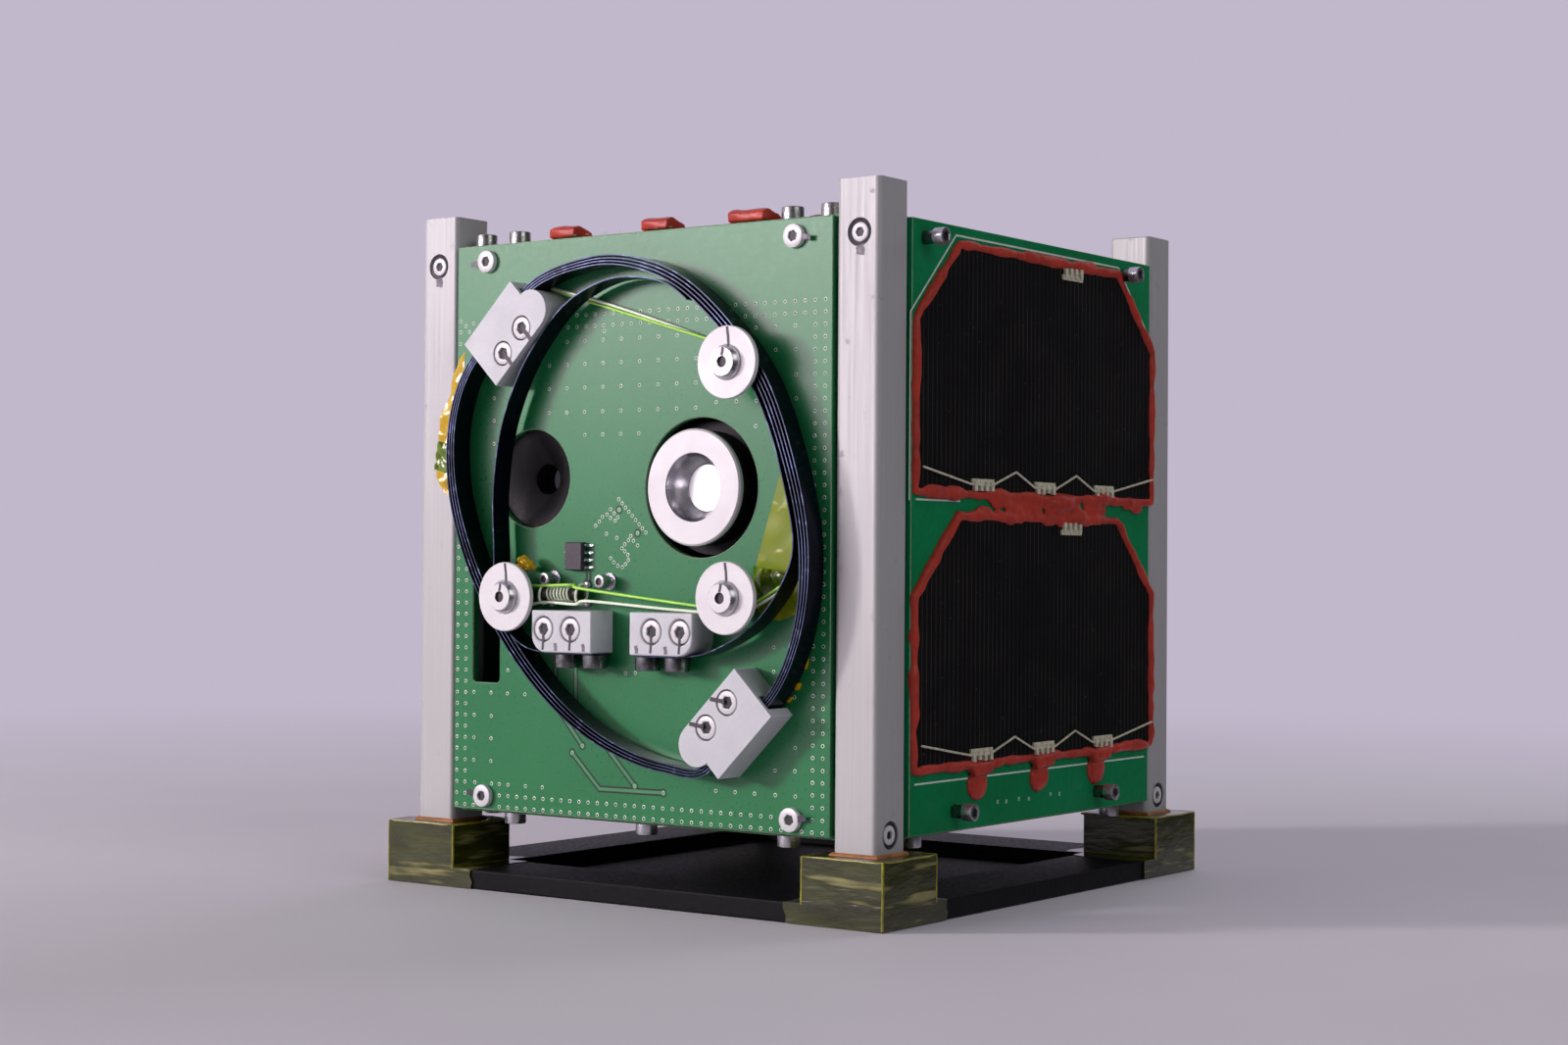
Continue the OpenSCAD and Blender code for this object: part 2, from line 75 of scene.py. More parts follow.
# Each pattern is its size in mm, its tint, the tint's share, and what else it does: it may add roughness or
# relief in mm, stretch along an axis, or show only a cut of its texture's range.
def makeMaterial(name, colour, rough, plain, *patterns):
    material = bpy.data.materials.new(name)
    material.use_nodes = True
    tree = material.node_tree
    shader = tree.nodes["Principled BSDF"]
    colour, normal = toLinear(colour), None
    setInputs(tree, shader, {**plain, "Base Color": colour, "Roughness": rough})
    place = addNode(tree, "TexCoord").outputs["Object"]
    for size, tint, amount, more in patterns:
        scale = [1 / (size * mm * s) for s in more.get("stretch", (1, 1, 1))]
        spot = {"Vector": addNode(tree, "Mapping", {"Vector": place, "Scale": scale}), "Scale": 1.0}
        if "bands" in more:
            texture = addNode(tree, "TexWave", spot, bands_direction=more["bands"])
        else:
            texture = addNode(tree, "TexNoise", {**spot, "Detail": more.get("detail", 3)})
        low, high = more.get("cut", (0.35, 0.65))
        cut = addNode(tree, "MapRange", {"Value": texture, "From Min": low, "From Max": high})
        share = addNode(tree, "Math", {0: cut, 1: amount}, operation="MULTIPLY")
        mix = addNode(tree, "Mix", {"Factor": share, 6: colour, 7: toLinear(tint)}, data_type="RGBA")
        colour = mix.outputs[2]
        if "rough" in more:
            spread = addNode(tree, "Math", {0: cut, 1: more["rough"]}, operation="MULTIPLY")
            rough = addNode(tree, "Math", {0: spread, 1: rough}, operation="ADD")
        if "relief" in more:
            normal = addNode(tree, "Bump", {"Height": cut, "Distance": more["relief"] * mm, "Normal": normal})
    setInputs(tree, shader, {"Base Color": colour, "Roughness": rough, "Normal": normal})
    return material


# Clear-anodised aluminium, milled and brushed along the rail: a pale satin with faint lengthwise lines.
satinAluminium = makeMaterial("satinAluminium", "#B4B2B4", 0.36, {"Metallic": 0.14},
    (0.5, "#A4A2A5", 0.3, {"stretch": (1, 1, 60), "detail": 4, "rough": 0.12, "relief": 0.004}),
    (14, "#ABA8AB", 0.5, {"stretch": (1, 1, 3), "detail": 2, "rough": 0.06}),
    (2.2, "#9F979F", 0.35, {"detail": 6, "cut": (0.66, 0.72), "rough": 0.2}))

# Turned aluminium washers: nearly white, with a fine matt turning.
turnedAluminium = makeMaterial("turnedAluminium", "#D6D2D6", 0.36, {"Metallic": 0.1},
    (5, "#CEC8CF", 0.6, {"rough": 0.1}),
    (0.5, "#B9AEB8", 0.25, {"detail": 5, "cut": (0.62, 0.7), "relief": 0.004}))

# Polished aluminium in the ring's bore: mirrors the room in soft bands.
polishedAluminium = makeMaterial("polishedAluminium", "#C9C6CB", 0.16, {"Metallic": 1.0},
    (1.2, "#8F9896", 0.45, {"detail": 4, "rough": 0.1, "relief": 0.004}))

# Stainless steel screws: bright on the turned faces, grey in the recesses.
stainlessSteel = makeMaterial("stainlessSteel", "#D2CFD4", 0.24, {"Metallic": 0.9},
    (1.6, "#A9A8AE", 0.4, {"rough": 0.1, "relief": 0.002}))

# Grey plated cap screws and spacers: duller than the stainless ones.
platedSteel = makeMaterial("platedSteel", "#B4B3B2", 0.22, {"Metallic": 0.85},
    (0.7, "#6A6B6C", 0.5, {"detail": 4, "rough": 0.2, "relief": 0.01}))

# Darker plated steel of the screws that pinch the tapes, and of the posts.
darkPlatedSteel = makeMaterial("darkPlatedSteel", "#8E8F90", 0.22, {"Metallic": 1.0},
    (0.9, "#3E4142", 0.7, {"rough": 0.15, "relief": 0.006}))

# Blued spring steel tape: dark and glossy, its broad faces mirror their surroundings.
bluedSteel = makeMaterial("bluedSteel", "#141A28", 0.17, {"Metallic": 0.75},
    (6, "#090F14", 0.7, {"detail": 2, "rough": 0.08}),
    (0.6, "#26324A", 0.3, {"stretch": (1, 8, 1), "relief": 0.003}))

# The same steel where slitting left it bare: a thin slate blue line along each edge, with painted highlights
# as paler blue streaks along it.
slitEdgeAndHighlights = makeMaterial("slitEdgeAndHighlights", "#39435F", 0.32, {"Metallic": 0.5},
    (9, "#141B2E", 0.8, {"detail": 2, "cut": (0.4, 0.6)}),
    (1.6, "#7F8BB4", 0.6, {"detail": 4, "cut": (0.55, 0.75), "rough": 0.1}))

# Green solder mask on the antenna board: satin, with the ground copper's faint mottling beneath.
antennaMask = makeMaterial("antennaMask", "#1C7242", 0.27, {"Specular IOR Level": 0.4},
    (18, "#247B4A", 0.55, {"detail": 2}), (0.9, "#166436", 0.25, {"rough": 0.04}))

# The same mask where it runs over bright copper: the traces show as lighter lines.
maskOnCopper = makeMaterial("maskOnCopper", "#3B8356", 0.4, {}, (2, "#327A4C", 0.5, {"relief": 0.003}))

# Bare laminate showing dark through the mask beside the traces.
maskOnLaminate = makeMaterial("maskOnLaminate", "#14291B", 0.5, {"Specular IOR Level": 0.3},
    (2, "#102015", 0.5, {"relief": 0.003}))

# Tinned rims of the plated holes, under a thin film of mask: pale green rings.
tinnedRim = makeMaterial("tinnedRim", "#E0EADB", 0.34, {"Metallic": 0.1},
    (3, "#BAD2BA", 0.6, {"relief": 0.006}))

# The dark inside of a plated hole.
holeShade = makeMaterial("holeShade", "#17291D", 0.6, {}, (0.6, "#182A1D", 0.5, {"detail": 2}))

# Darker, glossier green solder mask on the solar boards.
solarMask = makeMaterial("solarMask", "#067A48", 0.28, {"Specular IOR Level": 0.2},
    (15, "#0E8A58", 0.6, {"detail": 2}), (1.1, "#066038", 0.3, {"rough": 0.08, "relief": 0.004}))

# White ink lines printed on the boards.
whiteInk = makeMaterial("whiteInk", "#D5DDD6", 0.5, {}, (1, "#B7C6BB", 0.6, {"relief": 0.004}))

# Sawn edge of glass-epoxy laminate: matt straw green with the layers showing as faint lines.
laminateEdge = makeMaterial("laminateEdge", "#8FA78A", 0.6, {},
    (0.4, "#5F7A5C", 0.7, {"rough": 0.1, "relief": 0.02}))

# Solar cell under its cover glass: near black, with fine grid fingers drawn wide enough to show.
def makeCellGlass(name, bands):
    return makeMaterial(name, "#191819", 0.24, {"Specular IOR Level": 0.1},
        (4.4, "#3A3734", 0.7, {"bands": bands, "cut": (0.8, 1.0)}), (9, "#141315", 0.6, {"detail": 2}),
        (1.2, "#5A5654", 0.35, {"detail": 6, "cut": (0.7, 0.74)}))


cellGlassAlongX = makeCellGlass("cellGlassAlongX", "X")
cellGlassAlongY = makeCellGlass("cellGlassAlongY", "Y")

# Red silicone sealant, laid by hand: a soft sheen over lumpy beads, darker where it is thick.
redSealant = makeMaterial("redSealant", "#B8382B", 0.28, {"Specular IOR Level": 0.3},
    (6, "#8E2A20", 0.6, {"rough": 0.15}), (1.4, "#C64A38", 0.35, {"relief": 0.03}))

# Tinned copper ribbon joining the cells.
tinnedRibbon = makeMaterial("tinnedRibbon", "#E3DEC9", 0.4, {"Metallic": 0.2},
    (0.8, "#A39A80", 0.6, {"detail": 4, "rough": 0.15, "relief": 0.02}))

# White acetal, milled: waxy and slightly translucent, cool in its shade.
milledAcetal = makeMaterial("milledAcetal", "#CBC9D1", 0.42,
    {"Subsurface Weight": 0.2, "Subsurface Scale": 0.0015, "Subsurface Radius": (1.0, 0.9, 0.9)},
    (7, "#C0BEC8", 0.5, {"detail": 2, "rough": 0.08}), (0.5, "#B6B4BF", 0.2, {"relief": 0.004}))

# Black anodised aluminium: matt charcoal that lifts to purple-grey where light grazes it.
blackAnodised = makeMaterial("blackAnodised", "#131215", 0.5, {"Metallic": 0.2, "Specular IOR Level": 0.3},
    (0.6, "#221F25", 0.5, {"detail": 4, "rough": 0.12, "relief": 0.008}))

# Moulded epoxy of the driver chip: matt purple grey on its face.
mouldedEpoxy = makeMaterial("mouldedEpoxy", "#3A333C", 0.5, {},
    (0.35, "#332E36", 0.6, {"detail": 4, "rough": 0.1, "relief": 0.01}))

# Tinned leads and solder: bright, a little frosted.
brightSolder = makeMaterial("brightSolder", "#CFCFD4", 0.2, {"Metallic": 0.9},
    (0.5, "#8F9098", 0.6, {"rough": 0.2, "relief": 0.02}))

# Dark enamel on the line cutter's resistor.
darkEnamel = makeMaterial("darkEnamel", "#17150F", 0.3, {}, (0.8, "#2C2A18", 0.6, {"relief": 0.02}))

# Clear nylon line: pale and glassy along its length.
clearNylon = makeMaterial("clearNylon", "#F2F6E6", 0.22, {}, (1.1, "#D3E2BE", 0.5, {"rough": 0.1}))

# Green nylon line: bright yellow green where light gathers in it.
greenNylon = makeMaterial("greenNylon", "#AEE65A", 0.2, {}, (1.3, "#7CC23E", 0.5, {"rough": 0.1}))

# Moulded dark plastic of the stand: a low sheen over fine grain.
standPlastic = makeMaterial("standPlastic", "#0F0E11", 0.46, {"Specular IOR Level": 0.1},
    (0.9, "#222026", 0.4, {"detail": 5, "rough": 0.14, "relief": 0.015}),
    (12, "#0D0C0F", 0.5, {"detail": 2}))

# Polyimide film wrapped over the dark sockets: glossy olive, wrinkled lengthwise.
oliveFilm = makeMaterial("oliveFilm", "#303409", 0.18, {"Coat Weight": 0.12, "Coat Roughness": 0.06},
    (4.5, "#454812", 0.8, {"stretch": (3, 3, 1), "rough": 0.08}),
    (1.7, "#A39B62", 0.75, {"stretch": (9, 9, 1), "detail": 2, "cut": (0.6, 0.7)}),
    (2.4, "#1C1B0C", 0.6, {"stretch": (3.5, 3.5, 1), "detail": 4, "relief": 0.1}))

# Where the film folds over an edge it shows yellow green: a painted highlight along the fold.
filmFold = makeMaterial("filmFold", "#A29A18", 0.15, {"Coat Weight": 0.8, "Coat Roughness": 0.06},
    (2.2, "#6A6416", 0.8, {"detail": 4, "relief": 0.05}))

# Film squeezed out round the rails' feet: a thin orange seam.
amberSeam = makeMaterial("amberSeam", "#B4703A", 0.3, {},
    (2.5, "#6E4A20", 0.7, {"detail": 4, "relief": 0.04}))

# Clear polyimide film on its own: a deep transparent yellow with soft folds.
yellowFilm = makeMaterial("yellowFilm", "#F0C000", 0.14,
    {"Transmission Weight": 0.35, "IOR": 1.5, "Coat Weight": 0.4},
    (7, "#CBA800", 0.6, {"detail": 2, "rough": 0.06}), (2.4, "#F7D020", 0.4, {"relief": 0.05}))

# The same film doubled over itself where it lies against the green board: olive green, with painted
# highlights as thin bright yellow streaks.
greenFilmWithGlints = makeMaterial("greenFilmWithGlints", "#7E9610", 0.14, {"Coat Weight": 0.5},
    (3, "#46620C", 0.8, {"rough": 0.06}), (1.2, "#D6DC30", 0.7, {"cut": (0.62, 0.7), "relief": 0.08}))

# The same film stuck flat on the board: olive yellow over the green.
flatFilm = makeMaterial("flatFilm", "#828C04", 0.2, {},
    (9, "#6E8408", 0.7, {"detail": 2}),
    (3, "#A9A814", 0.4, {"detail": 2, "cut": (0.6, 0.7), "relief": 0.02}))

# Dark boards and cells of the electronics stack, seen only through gaps.
stackBlack = makeMaterial("stackBlack", "#0E1011", 0.6, {}, (3, "#18231E", 0.6, {"relief": 0.1}))

# Coated optical glass with dark lens stack behind it.
lensGlass = makeMaterial("lensGlass", "#050508", 0.04, {"IOR": 1.6}, (5, "#120F22", 0.6, {"detail": 1}))

# Opal glass behind the silver ring: bright white and smooth.
opalGlass = makeMaterial("opalGlass", "#FFFFFF", 0.3,
    {"Metallic": 0.6, "Coat Weight": 0.6, "Coat Roughness": 0.04},
    (6, "#F4F5FA", 0.5, {"detail": 1}))

# Marker ink dried on metal and plastic: a thin violet black, patchy at its ends. The same finish is painted
# shade in the rail screws' recesses.
markerInkAndShade = makeMaterial("markerInkAndShade", "#1C1822", 0.38, {}, (0.5, "#4A4252", 0.6, {"rough": 0.2}))

# The same ink worn thin: a grey violet smear.
wornInk = makeMaterial("wornInk", "#77707C", 0.42, {}, (0.6, "#4E4756", 0.7, {"rough": 0.2}))

# Deep shade at the bottom of a screw's socket.
socketShade = makeMaterial("socketShade", "#18161A", 0.5, {}, (0.4, "#2E2B31", 0.5, {"relief": 0.01}))

print("materials: metals, boards, plastics and glass are mixed")


def linkObject(name, data):
    thing = bpy.data.objects.new(name, data)
    scene.collection.objects.link(thing)
    return thing


def meshFrom(name, bm, materials=()):
    mesh = bpy.data.meshes.new(name)
    bm.to_mesh(mesh)
    bm.free()
    for material in materials:
        mesh.materials.append(material)
    return mesh


# Swaps a piece's mesh for what its modifiers make of it, and drops them.
def settle(thing):
    bpy.context.view_layer.update()
    shaped = bpy.data.meshes.new_from_object(thing.evaluated_get(bpy.context.evaluated_depsgraph_get()))
    thing.modifiers.clear()
    thing.data = shaped


def smooth(mesh, angle=35):
    mesh.polygons.foreach_set("use_smooth", [True] * len(mesh.polygons))
    mesh.set_sharp_from_angle(angle=math.radians(angle))


# A piece rides on the one body, and takes the place of its CAD node if it has one.
def seat(piece, node=None):
    if node:
        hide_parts(node)
    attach(piece, body)


def finishPiece(name, bm, materials, angle=35, node=None):
    bmesh.ops.recalc_face_normals(bm, faces=bm.faces)
    mesh = meshFrom(name, bm, materials)
    smooth(mesh, angle)
    seat(linkObject(name, mesh), node)


# A CAD node that shows as it is, in a new finish.
def finishNode(node, finish):
    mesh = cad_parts[node].data
    mesh.materials.clear()
    mesh.materials.append(finish)


# A merged copy of a CAD node with its edges eased, which may have a finish of their own.
def easedCopy(node, name, materials, ease=0.0, steps=2, angle=35, edgeFinish=-1):
    bm = bmesh.new()
    bm.from_mesh(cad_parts[node].data)
    bmesh.ops.remove_doubles(bm, verts=bm.verts, dist=1e-6)
    bmesh.ops.dissolve_limit(bm, angle_limit=math.radians(1), verts=bm.verts, edges=bm.edges)
    bmesh.ops.recalc_face_normals(bm, faces=bm.faces)
    mesh = meshFrom(name, bm, materials)
    smooth(mesh, angle)
    piece = linkObject(name, mesh)
    if ease:
        edge = piece.modifiers.new("ease", "BEVEL")
        edge.width, edge.segments, edge.material = ease * mm, steps, edgeFinish
        edge.limit_method, edge.angle_limit = "ANGLE", math.radians(angle)
        flat = piece.modifiers.new("flat", "WEIGHTED_NORMAL")      # broad faces stay flat in the light
        flat.weight, flat.keep_sharp = 100, True
        settle(piece)
    seat(piece, node)


# Side faces are drawn in x, z and the distance out of the axis: turn 0 is the front, 90 the right side.
# The top is drawn in x, y and z.
def faceFrame(turn):
    if turn == "top":
        return Matrix.Identity(4)
    return Matrix.Rotation(math.radians(turn), 4, "Z") @ Matrix.Rotation(math.radians(90), 4, "X")


def onFace(turn, x, z, out):
    return faceFrame(turn) @ Vector((x, z, out)) * mm


def spotsOn(places, out, turns=(0,)):
    return [(onFace(turn, x, z, out), faceFrame(turn) @ Vector((0, 0, 1)))
            for turn in turns for x, z in places]


def point(x, y, z):
    return Vector((x, y, z)) * mm


def span(start, stop, count):
    return [start + (stop - start) * k / (count - 1) for k in range(count)]


def roundWay(steps):
    return [2 * math.pi * k / steps for k in range(steps)]


# Rings of points, joined one to the next. They end in two caps, or join up into a loop.
# A material may be given for each side of the ring.
def addLoft(bm, rings, loop=False, materials=None):
    loops = [[bm.verts.new(p) for p in ring] for ring in rings]
    count = len(loops[0])
    materials = materials or [0] * count
    for low, high in zip(loops, loops[1:] + loops[:1] if loop else loops[1:]):
        for i in range(count):
            j = (i + 1) % count
            bm.faces.new((low[i], low[j], high[j], high[i])).material_index = materials[i]
    if not loop:
        for cap in (loops[0][::-1], loops[-1]):
            bm.faces.new(cap).material_index = materials[0]


# A smooth way through the points, with directions at its two ends if they are given.
def smoothWay(points, first=None, last=None, steps=8):
    points = [Vector(p) for p in points]
    end = len(points) - 1
    slopes = [(points[min(i + 1, end)] - points[max(i - 1, 0)]) / 2 for i in range(end + 1)]
    slopes[0] = Vector(first) if first else slopes[0]
    slopes[end] = Vector(last) if last else slopes[end]
    way = []
    for i in range(end):
        for k in range(steps):
            t = k / steps
            way.append((2 * t**3 - 3 * t**2 + 1) * points[i] + (t**3 - 2 * t**2 + t) * slopes[i]
                       + (3 * t**2 - 2 * t**3) * points[i + 1] + (t**3 - t**2) * slopes[i + 1])
    return way + [points[end]]


def aheadAt(way, i):
    return (way[min(i + 1, len(way) - 1)] - way[max(i - 1, 0)]).normalized()


# A round tube along points in space, with one radius in mm or one for each point.
def addTube(bm, way, radius, sides=8, loop=False):
    across = None
    rings = []
    for i, here in enumerate(way):
        ahead = (way[(i + 1) % len(way)] - way[i - 1]).normalized() if loop else aheadAt(way, i)
        across = ahead.orthogonal() if across is None else across
        across = (across - ahead * across.dot(ahead)).normalized()
        up = ahead.cross(across)
        reach = (radius[i] if isinstance(radius, list) else radius) * mm
        rings.append([here + (across * math.cos(a) + up * math.sin(a)) * reach for a in roundWay(sides)])
    addLoft(bm, rings, loop)


def acrossStrip(a, b, low, high, turn=0):
    return [onFace(turn, p.x, p.y, out) for p, out in ((a, low), (b, low), (b, high), (a, high))]


# A thin ribbon lying on a face along points in x and z, between two distances out.
def addRibbon(bm, way, width, low, high, turn=0):
    rings = []
    way = [Vector(p) for p in way]
    for i, here in enumerate(way):
        ahead = (way[i + 1] - here).normalized() if i < len(way) - 1 else (here - way[i - 1]).normalized()
        behind = (here - way[i - 1]).normalized() if i else ahead
        along = (ahead + behind).normalized()
        side = Vector((-along.y, along.x)) * width / 2 / max(along.dot(ahead), 0.5)
        rings.append(acrossStrip(here + side, here - side, low, high, turn))
    addLoft(bm, rings)


# A turned shape about +Z from (radius, height) pairs. A negative radius is a hexagon of that half width.
def addTurned(bm, profile, sides=24, place=Matrix.Identity(4), loop=False):
    rings = []
    for radius, height in profile:
        ring = []
        for angle in roundWay(sides):
            reach = radius
            if radius < 0:
                reach = -radius / math.cos((angle + math.pi / 6) % (math.pi / 3) - math.pi / 6)
            across, up = reach * math.cos(angle) * mm, reach * math.sin(angle) * mm
            ring.append(place @ Vector((across, up, height * mm)))
        rings.append(ring)
    addLoft(bm, rings, loop)


# A flat slab on a face, from an outline in x and z, between two distances out.
def addSlab(bm, outline, low, high, turn=0):
    addLoft(bm, [[onFace(turn, x, z, out) for x, z in outline] for out in (low, high)])


def addBox(bm, left, right, bottom, top, low, high, turn=0):
    addSlab(bm, [(left, bottom), (right, bottom), (right, top), (left, top)], low, high, turn)


def arc(x, z, radius, start, end, steps=8):
    angles = [math.radians(a) for a in span(start, end, steps + 1)]
    return [(x + radius * math.cos(a), z + radius * math.sin(a)) for a in angles]


# One tree places a master mesh on every point of a mesh: facing turns it, spin rolls it.
def makePlacer():
    tree = bpy.data.node_groups.new("placeOnPoints", "GeometryNodeTree")
    for name, kind in (("Geometry", "Geometry"), ("Master", "Object"), ("Finish", "Material")):
        tree.interface.new_socket(name, in_out="INPUT", socket_type="NodeSocket" + kind)
    tree.interface.new_socket("Geometry", in_out="OUTPUT", socket_type="NodeSocketGeometry")
    start = addNode(tree, "NodeGroupInput").outputs
    master = addNode(tree, "GeometryNodeObjectInfo", {"Object": start["Master"]})
    facing = addNode(tree, "GeometryNodeInputNamedAttribute", {"Name": "facing"}, data_type="FLOAT_VECTOR")
    spin = addNode(tree, "GeometryNodeInputNamedAttribute", {"Name": "spin"}, data_type="FLOAT")
    stood = addNode(tree, "FunctionNodeAlignRotationToVector", {"Vector": facing}, axis="Z")
    roll = addNode(tree, "FunctionNodeAxisAngleToRotation", {"Axis": (0, 0, 1), "Angle": spin})
    turned = addNode(tree, "FunctionNodeRotateRotation", {"Rotation": stood, "Rotate By": roll},
                     rotation_space="LOCAL")
    placed = addNode(tree, "GeometryNodeInstanceOnPoints", {
        "Points": start["Geometry"], "Instance": master.outputs["Geometry"], "Rotation": turned})
    real = addNode(tree, "GeometryNodeRealizeInstances", {"Geometry": placed})
    finished = addNode(tree, "GeometryNodeSetMaterial", {"Geometry": real, "Material": start["Finish"]})
    addNode(tree, "NodeGroupOutput", {"Geometry": finished})
    return tree


placer = makePlacer()
placerSockets = {item.name: item.identifier for item in placer.interface.items_tree if item.in_out == "INPUT"}


# Turns a profile into a master and places it on a list of (point, facing direction), as one plain mesh.
# A looped profile is a closed ring with a hole through it.
def placeCopies(name, profile, spots, finish, sides=24, loop=False, node=None):
    bm = bmesh.new()
    addTurned(bm, profile, sides, loop=loop)
    bmesh.ops.recalc_face_normals(bm, faces=bm.faces)
    master = linkObject(name + "Master", meshFrom(name + "Master", bm))
    draw = random.Random(1)
    mesh = bpy.data.meshes.new(name)
    mesh.from_pydata([place for place, direction in spots], [], [])
    facing = mesh.attributes.new("facing", "FLOAT_VECTOR", "POINT")
    facing.data.foreach_set("vector", [v for place, direction in spots for v in direction])
    spin = mesh.attributes.new("spin", "FLOAT", "POINT")
    spin.data.foreach_set("value", [draw.uniform(0, math.pi) for spot in spots])
    piece = linkObject(name, mesh)
    modifier = piece.modifiers.new("place", "NODES")
    modifier.node_group = placer
    modifier[placerSockets["Master"]] = master
    modifier[placerSockets["Finish"]] = finish
    settle(piece)
    smooth(piece.data)
    bpy.data.objects.remove(master)
    seat(piece, node)


# Socket heads of one family: eased rim, hexagonal socket with a drilled floor, and the dark of the deep
# socket as a plug near its floor.
def addHeads(name, spots, size, finish, node):
    radius, height, socket, deep = size
    floor, ease = height - deep, 0.2
    head = [(0.02, floor - 0.25), (socket * 0.7, floor - 0.15), (-socket, floor), (-socket, height - 0.08),
            (-socket - 0.1, height), (radius - ease, height), (radius - ease * 0.3, height - ease * 0.3),
            (radius, height - ease), (radius, 0.02), (0.02, 0.02)]
    placeCopies(name, head, spots, finish, node=node)
    plug = [(0.02, floor - 0.05), (-socket, floor - 0.05), (-socket, height - deep * 0.35),
            (0.02, height - deep * 0.35)]
    placeCopies(name + "Sockets", plug, spots, socketShade, 6)


# A rounded lump squashed onto a face.
def addLump(bm, x, z, out, radii, turn=0):
    place = faceFrame(turn) @ Matrix.Translation(point(x, z, out))
    place = place @ Matrix.Diagonal((*[r * mm for r in radii], 1))
    bmesh.ops.create_icosphere(bm, subdivisions=2, radius=1, matrix=place)


# Melts overlapping lumps and beads into one skin, and roughens it a little.
def meltPiece(name, bm, finish, voxel, rough, grain):
    bmesh.ops.recalc_face_normals(bm, faces=bm.faces)
    piece = linkObject(name, meshFrom(name, bm))
    skin = piece.modifiers.new("skin", "REMESH")
    skin.mode, skin.voxel_size = "VOXEL", voxel * mm
    even = piece.modifiers.new("even", "SMOOTH")
    even.factor, even.iterations = 0.5, 3
    settle(piece)
    mesh = piece.data
    moved = [v.co + v.normal * noise.noise(v.co / (grain * mm)) * rough * mm for v in mesh.vertices]
    mesh.vertices.foreach_set("co", [c for p in moved for c in p])
    mesh.materials.append(finish)
    smooth(mesh, 80)
    seat(piece)


print("helpers: lofts, turned shapes and the placing tree are ready")

view = {"place": (0.2764, -0.3899, 0.0584), "turn": (90.85, -0.38, 35.77), "lens": 58.89}
eye = linkObject("camera", bpy.data.cameras.new("camera"))
eye.location = view["place"]
eye.rotation_euler = [math.radians(a) for a in view["turn"]]
eye.data.lens, eye.data.sensor_width, eye.data.clip_start = view["lens"], 36, 0.01
scene.camera = eye

# Each lamp's place, size, power, colour and the rays that see it. A small key lamp throws the crisp shadows,
# a wide one in front is what the satin faces reflect.
studio = {
    "key": ((-0.86, -0.80, 0.25), (0.12, 0.12), 11.5, "#FFFBF6", "diffuse"),
    "front": ((-0.62, -1.15, 0.62), (0.9, 0.6), 4.0, "#FFF9FB", "diffuse"),
    "sheen": ((-0.70, -1.20, 0.41), (0.9, 0.4), 15.5, "#FFEFF8", "glossy"),
    "right": ((0.95, -0.25, 0.6), (0.6, 0.6), 2.4, "#F2F8F4", "all"),
    "back": ((0.1, 1.1, 0.7), (1.0, 0.8), 6.0, "#F8F8FF", "diffuse"),
}
aim = Vector((0, 0, 0.06))
for name, (place, size, power, colour, rays) in studio.items():
    light = bpy.data.lights.new(name, "AREA")
    light.shape = "RECTANGLE"
    light.size, light.size_y = size
    light.energy, light.color = power, toLinear(colour)[:3]
    shell = linkObject(name, light)
    shell.visible_glossy, shell.visible_diffuse = rays != "diffuse", rays != "glossy"
    shell.location = place
    shell.rotation_euler = (aim - Vector(place)).to_track_quat("-Z", "Y").to_euler()

# The room is an even pale lavender. Its far right is in shade, which the dark cells and rail sides mirror.
backdrop = {"seen": "#C1B8CB", "shade": "#262529", "light": "#DCDAE0", "strength": 0.2}


def mirroredRoom(tree, rays, place, start, stop):
    rightward = addNode(tree, "MapRange", {"Value": addNode(tree, "SeparateXYZ", {"Vector": place}),
                                           "From Min": start, "From Max": stop})
    shaded = addNode(tree, "Math", {0: rays["Is Glossy Ray"], 1: rightward}, operation="MULTIPLY")
    room = addNode(tree, "Mix", {"Factor": shaded, 6: toLinear(backdrop["seen"]),
                                 7: toLinear(backdrop["shade"])}, data_type="RGBA")
    return shaded, room.outputs[2]


world = bpy.data.worlds.new("studio")
scene.world = world
world.use_nodes = True
sky = world.node_tree
sky.nodes.clear()
rays = addNode(sky, "LightPath").outputs
shaded, room = mirroredRoom(sky, rays, addNode(sky, "TexCoord").outputs["Generated"], -0.1, 0.35)
direct = addNode(sky, "Math", {0: rays["Is Camera Ray"], 1: rays["Is Transmission Ray"]}, operation="MAXIMUM")
direct = addNode(sky, "Math", {0: direct, 1: rays["Is Glossy Ray"]}, operation="MAXIMUM")
lit = addNode(sky, "Background", {"Color": toLinear(backdrop["light"]), "Strength": backdrop["strength"]})
seen = addNode(sky, "Background", {"Color": room, "Strength": 1.0})
addNode(sky, "OutputWorld", {"Surface": addNode(sky, "MixShader", {"Fac": direct, 1: lit, 2: seen})})

# Matt painted table top, pale and even. Away from the object it melts into the backdrop's colour.
table = {"reach": 6.0, "near": 0.16, "far": 0.62}
paleTable = makeMaterial("paleTable", "#DAD3DE", 0.65, {}, (60, "#D2CBD8", 0.4, {"detail": 2}))
tree = paleTable.node_tree
rays = addNode(tree, "LightPath").outputs
spot = addNode(tree, "TexCoord").outputs["Object"]
shown = addNode(tree, "Math", {0: rays["Is Camera Ray"], 1: rays["Is Glossy Ray"]}, operation="MAXIMUM")
away = addNode(tree, "VectorMath", {0: spot}, operation="LENGTH").outputs["Value"]
fade = addNode(tree, "MapRange", {"Value": away, "From Min": table["near"], "From Max": table["far"]},
               interpolation_type="SMOOTHSTEP")
